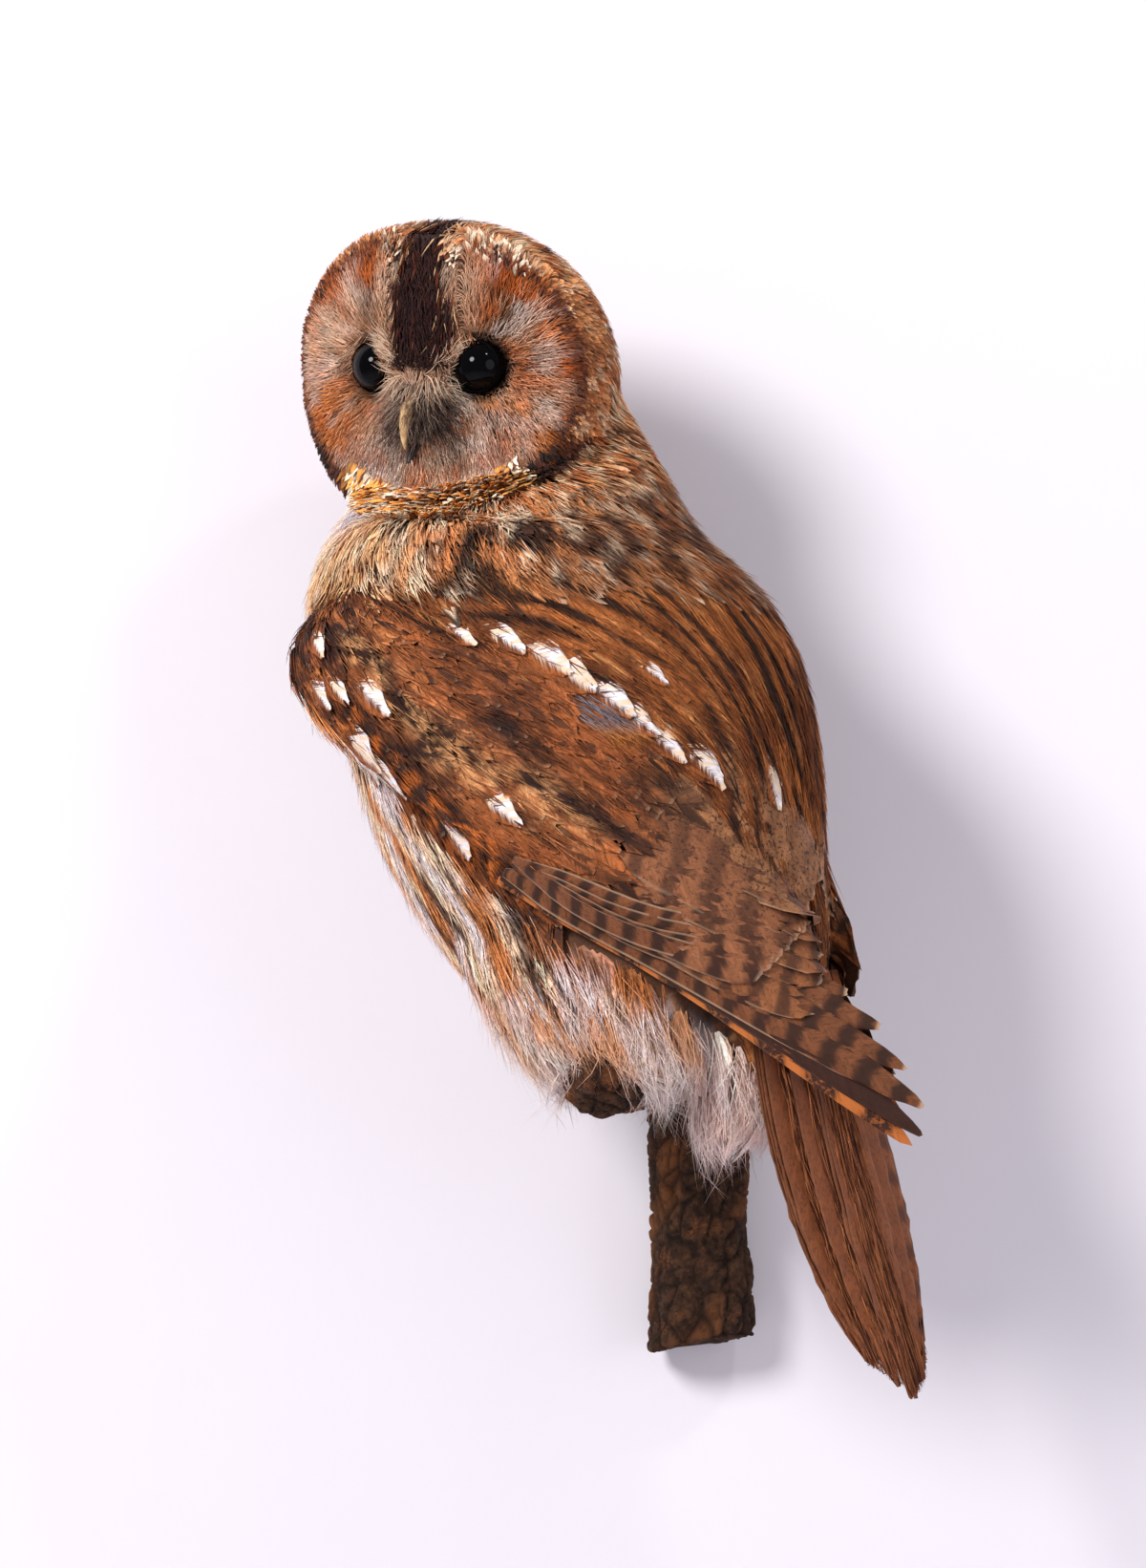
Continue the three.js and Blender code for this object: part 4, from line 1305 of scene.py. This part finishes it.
def row_of(first, last, count):
    t = np.linspace(0, 1, count)[:, None]
    return np.array(first) * (1 - t) + np.array(last) * t


def atlas(count, start, columns=10, rows=8):
    """The middle of each large feather's own patch of its bake map."""
    cell = start + np.arange(count)
    return np.stack([(cell % columns + 0.5) / columns, (cell // columns + 0.5) / rows], 1)


class Row:
    """A row of large feathers of the left wing, from its outermost to its innermost: where their roots,
    middles and tips lie, half their width, and how far the first and last are lifted at root and tip."""

    def __init__(self, count, roots, middles, tips, half, low, high, **look):
        self.count = count
        self.roots, self.middles = row_of(*roots, count), row_of(*middles, count)
        self.tips = np.array(tips, float) if len(tips) == count else row_of(*tips, count)
        self.half, self.low, self.high, self.look = half, low, high, look


PRIMARIES = Row(
    7, ((22, 57, 93), (14, 61, 100)), ((-30, 42, 67), (-22, 47.5, 81)),
    ((-91, 13, 16), (-94, 11.5, 18.5), (-93.5, 11, 27), (-88.5, 11, 38), (-80.5, 12, 50), (-71, 14, 60),
     (-62, 17, 69)), 5.8, (-1.4, 0.8), (-1.0, 1.2), tint=srgb(120, 75, 47), ink=srgb(46, 28, 20), mottle=0.45)
INNER = Row(
    6, ((6, 62, 100), (0, 62, 124)), ((-28, 50, 77), (-32, 48, 104)), ((-66, 24, 56), (-68, 14, 75)),
    7.5, (-3.6, -2.8), (-0.2, 0.4),
    tint=srgb(142, 92, 58), ink=srgb(62, 38, 27), bars=0.8, spacing=8.5, mottle=0.45, fringe=0.5)
SECONDARIES = Row(
    8, ((18, 63, 107), (8, 64, 134)), ((-14, 55, 88), (-24, 54, 116)), ((-52, 35, 66), (-64, 17, 84)),
    8.6, (-3.2, -1.8), (0.2, 1.6), tint=srgb(142, 93, 62), ink=srgb(56, 34, 25), spacing=10.5, fringe=0.35)
TERTIALS = Row(
    4, ((2, 60, 134), (-14, 54, 144)), ((-34, 46, 112), (-42, 34, 124)), ((-63, 15, 80), (-58, 2, 93)),
    9.4, (-2.0, -1.0), (1.4, 2.2),
    tint=srgb(158, 110, 72), ink=srgb(66, 40, 28), bars=0.35, spacing=9.0, mottle=0.95, fringe=0.5)
GREATER = Row(
    8, ((56, 64, 128), (10, 62, 140)), ((43, 65, 114), (-6, 60, 125)), ((28, 62, 99), (-25, 53, 107)),
    7.4, (-3.2, -2.4), (-1.4, -0.8),
    tint=srgb(142, 90, 52), ink=INK, bars=0.3, spacing=9.0, mottle=0.6, fringe=0.15)
# The tips of the right wing's primaries, which are shorter in view.
FAR_TIPS = np.array([(-80, -13, 24), (-81, -14, 28), (-77, -15, 35), (-70, -17, 44), (-62, -19, 54),
                     (-56, -21, 64), (-52, -21, 72)], float)

flight = Coat()
placed = 0
for side in (1, -1):
    for row in (PRIMARIES, INNER, SECONDARIES, TERTIALS, GREATER):
        count = row.count
        t = np.linspace(0, 1, count)
        roots, middles, tips = (part * [1, side, 1] for part in (row.roots, row.middles, row.tips))
        low, high = (ends[0] + (ends[1] - ends[0]) * t for ends in (row.low, row.high))
        # The far wing is drawn a little tighter to the body.
        if side < 0:
            tips = FAR_TIPS if row is PRIMARIES else tips + [9, 2, 0]
            high = high - (1.0 if row is TERTIALS else 0.0)
        paths = bowed(roots, middles, tips)
        lines, normals = laid(paths, low, high)
        if row is PRIMARIES:
            loose, square = stacked(paths, side, low, high)
            share = np.maximum(smooth(0.5, 0.85, np.linspace(0, 1, paths.shape[1]))[None], (t < 0.4)[:, None])
            lines, normals = blend(lines, loose, share), unit(blend(normals, square, share))
        told = dict(row.look)
        tint = varied(np.zeros((count, 3)) + told.pop("tint"), 0.1)
        half = np.full(count, row.half)
        if row is PRIMARIES:
            # The outermost has wide buff bars, the next none; both are dark.
            tint[:2] = srgb(58, 33, 23)
            told["ink"] = np.where((t == 0)[:, None], srgb(196, 118, 62), told["ink"])
            told["bars"] = np.where((t > 0) & (t < 0.2), 0.0, 0.9)
            told["spacing"] = np.where(t == 0, 16.0, 9.0)
            told["fringe"] = np.where(t < 0.2, 0.1, 0.8)
            half[t > 0.2] *= 1.15
        if row is SECONDARIES:
            told["bars"] = np.interp(t, [0, 1], [0.95, 0.5])
            told["mottle"] = np.interp(t, [0, 1], [0.25, 0.85])
        vanes(flight, lines, normals, half, ROUND, marked(count, tint, **told), atlas(count, placed), rows=28,
              side=5, crown=0.16, ragged=0.01, thick=0.45, round_tip=0.14 if row is PRIMARIES else 0.06,
              patch=(0.09, 0.09))
        placed += count
flight.made("flight_feathers", "flight_feathers", *BUNDLES)

TAIL_HALF, TAIL_DROOP, TAIL_TURN = 27, 8, math.radians(-16)
TAIL_LINE = np.array([[-54, 66], [-68, 10], [-92, -59]], float)  # its middle in side view, x and z


def tail_point(along, across, lift):
    """A place on the tail: along 0 to 1, across -1 to 1 of its width, and lift towards its underside."""
    a, b, c = TAIL_LINE
    t = along[..., None]
    middle = (1 - t) ** 2 * a + 2 * t * (1 - t) * b + t**2 * c
    ahead = unit(2 * (1 - t) * (b - a) + 2 * t * (c - b))
    half = TAIL_HALF * (0.82 + 0.18 * np.sin(along * np.pi * 0.9)) - 10 * along**2
    y = across * half
    up = lift + TAIL_DROOP * (y / TAIL_HALF) ** 2
    x = middle[..., 0] - ahead[..., 1] * up - a[0]
    cos, sin = math.cos(TAIL_TURN), math.sin(TAIL_TURN)
    return np.stack([a[0] + x * cos - y * sin, x * sin + y * cos, middle[..., 1] + ahead[..., 0] * up], -1)


tail = Coat()
# The twelve feathers' places across the tail, the outer ones close under each other.
order = np.array([-1, -0.96, -0.91, -0.84, -0.42, -0.02, 0.06, 0.47, 0.86, 0.92, 0.96, 1])
u = np.linspace(0, 1, 15)
along = (0.995 - 0.1 * np.abs(order) ** 1.6)[:, None] * u[None]
across = order[:, None] * (0.84 + 0.02 * u[None])
layer = -1.2 + 1.2 * np.abs(order) + 0.25 * (order > 0)
flat = np.zeros_like(along)
lines = tail_point(along, across, flat + layer[:, None])
normals = unit(tail_point(along, across, flat - 1) - tail_point(along, across, flat))
tint = varied(np.zeros((len(order), 3)) + srgb(136, 80, 46), 0.08)
told = marked(len(order), tint, ink=srgb(70, 40, 28), bars=0.12 + 0.6 * (order < -0.8), spacing=11.0,
              mottle=0.45, fringe=0.15)
vanes(tail, lines, normals, np.full(len(order), 10.5), profile(0.4, 0.7, 0.85, 0.95, 1.0, 1.0, 0.85, 0.45),
      told, atlas(len(order), 0, 4, 3), rows=30, side=5, crown=0.02, ragged=0.05, thick=0.35, round_tip=0.08,
      patch=(0.22, 0.3))

STRANDS = 2000
own = np.random.default_rng(48)
u = np.linspace(0, 1, 5)[None]
start, place = own.random(STRANDS) * 0.92, own.uniform(-0.96, 0.96, STRANDS)
run = start[:, None] + own.uniform(0.08, 0.16, STRANDS)[:, None] * u
layer = (-1.6 + 1.2 * np.abs(place))[:, None] - 0.5 * u
width = place[:, None] + own.normal(0, 0.06, (STRANDS, 1)) * u
lines = tail_point(np.minimum(run, 0.985 - 0.09 * np.abs(place[:, None]) ** 1.6), width, layer)
normals = unit(tail_point(run, width, layer - 1) - tail_point(run, width, layer))
tint = varied(np.where(own.random((STRANDS, 1)) < 0.45, srgb(84, 46, 28), srgb(164, 104, 66)), 0.15, own)
places = np.stack([(place + 1) / 2 * 0.9 + 0.05, 0.02 + start * 0.3], 1)
wisps(tail, lines, normals, np.full(STRANDS, 0.25), marked(STRANDS, tint, own=own), places, rows=4, own=own)
tail.made("tail_feathers", "tail_feathers", "tail")


# ---------------------------------------------------------------- eyes, bill and claws
def ring_faces(rings, around):
    """Quads between rings of points, each ring with the same number of points around."""
    grid = np.arange(rings * around).reshape(rings, around)
    a, b = grid[:-1], grid[1:]
    return np.stack([a, b, np.roll(b, -1, 1), np.roll(a, -1, 1)], -1).reshape(-1, 4)


def lathe(outline, around=48):
    """A surface of revolution about x: outline (n, 2) of x and radius."""
    angle = np.linspace(0, 2 * math.pi, around, endpoint=False)
    x, r = outline.T
    y, z = np.outer(r, np.cos(angle)), np.outer(r, np.sin(angle))
    return np.stack([np.repeat(x, around), y.ravel(), z.ravel()], 1), ring_faces(len(x), around)


LID_X, LID_RADIUS = 2.6, 7.5
glass = eye_paint()
lid = horn_paint("eyelid", srgb(13, 11, 12), srgb(5, 4, 5), rough=0.9, shine=0.03)
for side, word in ((1, "left"), (-1, "right")):
    angle = np.linspace(0, math.pi, 33)
    radius = EYE_RADIUS * np.maximum(np.sin(angle), 1e-3)
    points, faces = lathe(np.stack([EYE_RADIUS * np.cos(angle), radius], 1))
    ball = new_mesh("eyeball_" + word, from_head(points + EYE * [1, side, 1]), faces)
    dress(ball, glass, "eye_glass", "eye_" + word)
    ring = np.linspace(0, 2 * math.pi, 17)
    points, faces = lathe(np.stack([LID_X + 0.9 * np.cos(ring), LID_RADIUS + 0.4 * np.sin(ring)], 1), 72)
    angle = np.arctan2(points[:, 2], points[:, 1])
    points[:, 0] += 0.25 * np.sin(angle * 9 + 1) * (points[:, 0] > LID_X) - 0.5 * np.cos(angle) * side
    rim = new_mesh("eyelid_" + word, from_head(points + EYE * [1, side, 1]), faces)
    dress(rim, lid, "eye_glass")


def mandible(base, bow, tip, half, deep, around=28, rings=40):
    """A bowed cone from its base to its tip, as the CAD has it, with a keel along its top."""
    base, bow, tip = (np.array(v, float) for v in (base, bow, tip))
    s = np.linspace(0, 1, rings)[:, None]
    middle = (1 - s) ** 2 * base + 2 * s * (1 - s) * bow + s**2 * tip
    ahead = unit(2 * (1 - s) * (bow - base) + 2 * s * (tip - bow))
    body = np.clip(s * 0.5 + 0.02, 0, 0.5)
    taper = np.sqrt(1 - np.abs(2 * body - 1) ** 2) * (1 - s) ** 0.6
    a = np.linspace(0, 2 * math.pi, around, endpoint=False)[None]
    up = np.cos(a) * deep * taper / 2
    wide = np.sin(a) * half * taper * (1 - 0.3 * np.maximum(np.cos(a), 0) ** 2)
    x = middle[:, :1] - ahead[:, 1:] * up
    z = middle[:, 1:] + ahead[:, :1] * up
    return np.stack([x, wide, z], -1).reshape(-1, 3), ring_faces(rings, around)[:, [0, 3, 2, 1]]


# The two halves of the bill: base, bow and tip in side view, half width and depth, and two colours.
BILL = (
    ("upper", "bill_horn", ([22, -3], [38, -6], [34.5, -20], 2.9, 8.0), (238, 206, 152), (180, 134, 88)),
    # The lower half is painted near-black as painted shade, standing for the shadowed gap of the mouth under
    # the upper half.
    ("lower", "bill_dark", ([22, -15.5], [30, -18], [33.4, -24], 3.4, 3.8), (40, 30, 27), (16, 12, 12)),
)
for word, slot, shape, colour, dark in BILL:
    points, faces = mandible(*shape)
    piece = new_mesh("bill_of_" + word, from_head(points), faces)
    dress(piece, horn_paint(slot, srgb(*colour), srgb(*dark)), slot, "bill_" + word)

# The CAD's claws stay, rounded and with a finish of their own.
claw = horn_paint("claw_horn", srgb(46, 36, 32), srgb(20, 16, 15), rough=0.25)
for name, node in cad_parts.items():
    if name.startswith("claw"):
        node.data.materials.clear()
        node.data.materials.append(claw)
        weld = node.modifiers.new("weld", "WELD")
        weld.merge_threshold = 0.00002
        curve = node.modifiers.new("round", "SUBSURF")
        curve.levels = curve.render_levels = 2


# ---------------------------------------------------------------- bark
def cracks(p):
    """How deep in a crack a place in mm is, from 0 to 1: wide cracks between plates, fine ones within."""
    wave = noise.noise(p * 0.09) * 5
    plate, _ = noise.voronoi((p[0] * 0.12 + wave * 0.1, p[1] * 0.12, p[2] * 0.085 + wave * 0.06))
    small, _ = noise.voronoi((p[0] * 0.3, p[1] * 0.3 + wave * 0.1, p[2] * 0.22))
    return max(1 - min((plate[1] - plate[0]) / 0.16, 1), 0.6 * (1 - min((small[1] - small[0]) / 0.14, 1)))


points, faces = remeshed(["post", "perch"], 1.0, 2)
normals, _ = point_normals(points, faces)
world_mm = to_world(points) / MM
crack = np.array([cracks(p) for p in world_mm])
warm = np.array([noise.noise((p[0] * 0.06 + 9, p[1] * 0.06, p[2] * 0.05)) for p in world_mm])
depth = 1.5 * crack + 0.5 * lattice_noise(points, 3.0) + 0.4 * lattice_noise(points, 1.6, 3)
lump = 2.6 * (lattice_noise(points, (9.0, 9.0, 13.0), 5) - 0.45)
off_the_wall = smooth(-1.5, -3.5, world_mm[:, 1])  # the sawn back stays flat
points = points + normals * ((lump - depth) * off_the_wall)[:, None]
# Red is how deep in a crack each place is, which the bark paint darkens as painted shade; green is where it
# is warm in colour.
tint = np.stack([crack, smooth(0.1, 0.4, warm), 0 * crack], 1)
dress(new_mesh("bark", points, faces, colours={"Tint": opaque(tint)}), bark_paint(), "bark", "post", "perch")


# ---------------------------------------------------------------- wall, light and camera
def pale_paint(name, colour):
    p = Paint(name)
    p.set(Base_Color=p.mix(p.noise(p.where(), 0.02, 3.0), colour * 0.98, colour), Roughness=0.9,
          Specular_IOR_Level=0.1)
    return p


def shown(name, data):
    thing = bpy.data.objects.new(name, data)
    bpy.context.scene.collection.objects.link(thing)
    return thing


def plane(name, corners, paint):
    mesh = bpy.data.meshes.new(name)
    mesh.from_pydata(corners, [], [(0, 1, 2, 3)])
    mesh.materials.append(paint.material)
    shown(name, mesh)


# The wall lets through what is behind it, so that views from there aren't blocked.
wall_paint = pale_paint("wall", srgb(238, 234, 241))
back = wall_paint.node("NewGeometry").outputs["Backfacing"]
clear = wall_paint.node("BsdfTransparent").outputs[0]
both = wall_paint.node("MixShader", {0: back, 1: wall_paint.shader.outputs[0], 2: clear}).outputs[0]
wall_paint.put(wall_paint.tree.nodes["Material Output"].inputs["Surface"], both)
WALL_Y, FRONT_Y, FLOOR_Z, TOP_Z, SIDE_X = 0.001, -4, -1, 3, 3
foot = [(-SIDE_X, WALL_Y, FLOOR_Z), (SIDE_X, WALL_Y, FLOOR_Z)]
plane("wall", foot + [(SIDE_X, WALL_Y, TOP_Z), (-SIDE_X, WALL_Y, TOP_Z)], wall_paint)
plane("floor", [(-SIDE_X, FRONT_Y, FLOOR_Z), (SIDE_X, FRONT_Y, FLOOR_Z)] + foot[::-1],
      pale_paint("floor", srgb(236, 233, 238)))


def area_light(name, at, aim, size, power, colour=(1, 1, 1)):
    data = bpy.data.lights.new(name, "AREA")
    data.shape = "DISK"
    data.size = size
    data.energy = power
    data.color = colour
    lamp = shown(name, data)
    lamp.location = at
    lamp.rotation_mode = "QUATERNION"
    lamp.rotation_quaternion = (Vector(aim) - Vector(at)).to_track_quat("-Z", "Y")


area_light("key", (-1.1, -1.5, 1.0), (0, -0.05, 0.1), 0.62, 38, (1.0, 0.98, 0.97))
area_light("catch", (0.5, -0.8, 1.2), (-0.04, -0.12, 0.25), 0.12, 2.6)
area_light("fill", (1.5, -1.6, 0.3), (0, 0, 0.1), 1.6, 10, (0.97, 0.96, 1.0))
world = bpy.data.worlds.new("studio")
world.use_nodes = True
sky = world.node_tree.nodes["Background"].inputs
sky["Color"].default_value = (0.93, 0.92, 1.0, 1)
sky["Strength"].default_value = 0.33
bpy.context.scene.world = world
bpy.context.scene.view_settings.view_transform = "Standard"

lens = bpy.data.cameras.new("camera")
lens.lens = 130.8
lens.sensor_width = 36
lens.clip_start = 0.05
camera = shown("camera", lens)
camera.location = (-0.040, -1.798, 0.121)
camera.rotation_euler = (math.radians(90), 0, 0)
bpy.context.scene.camera = camera
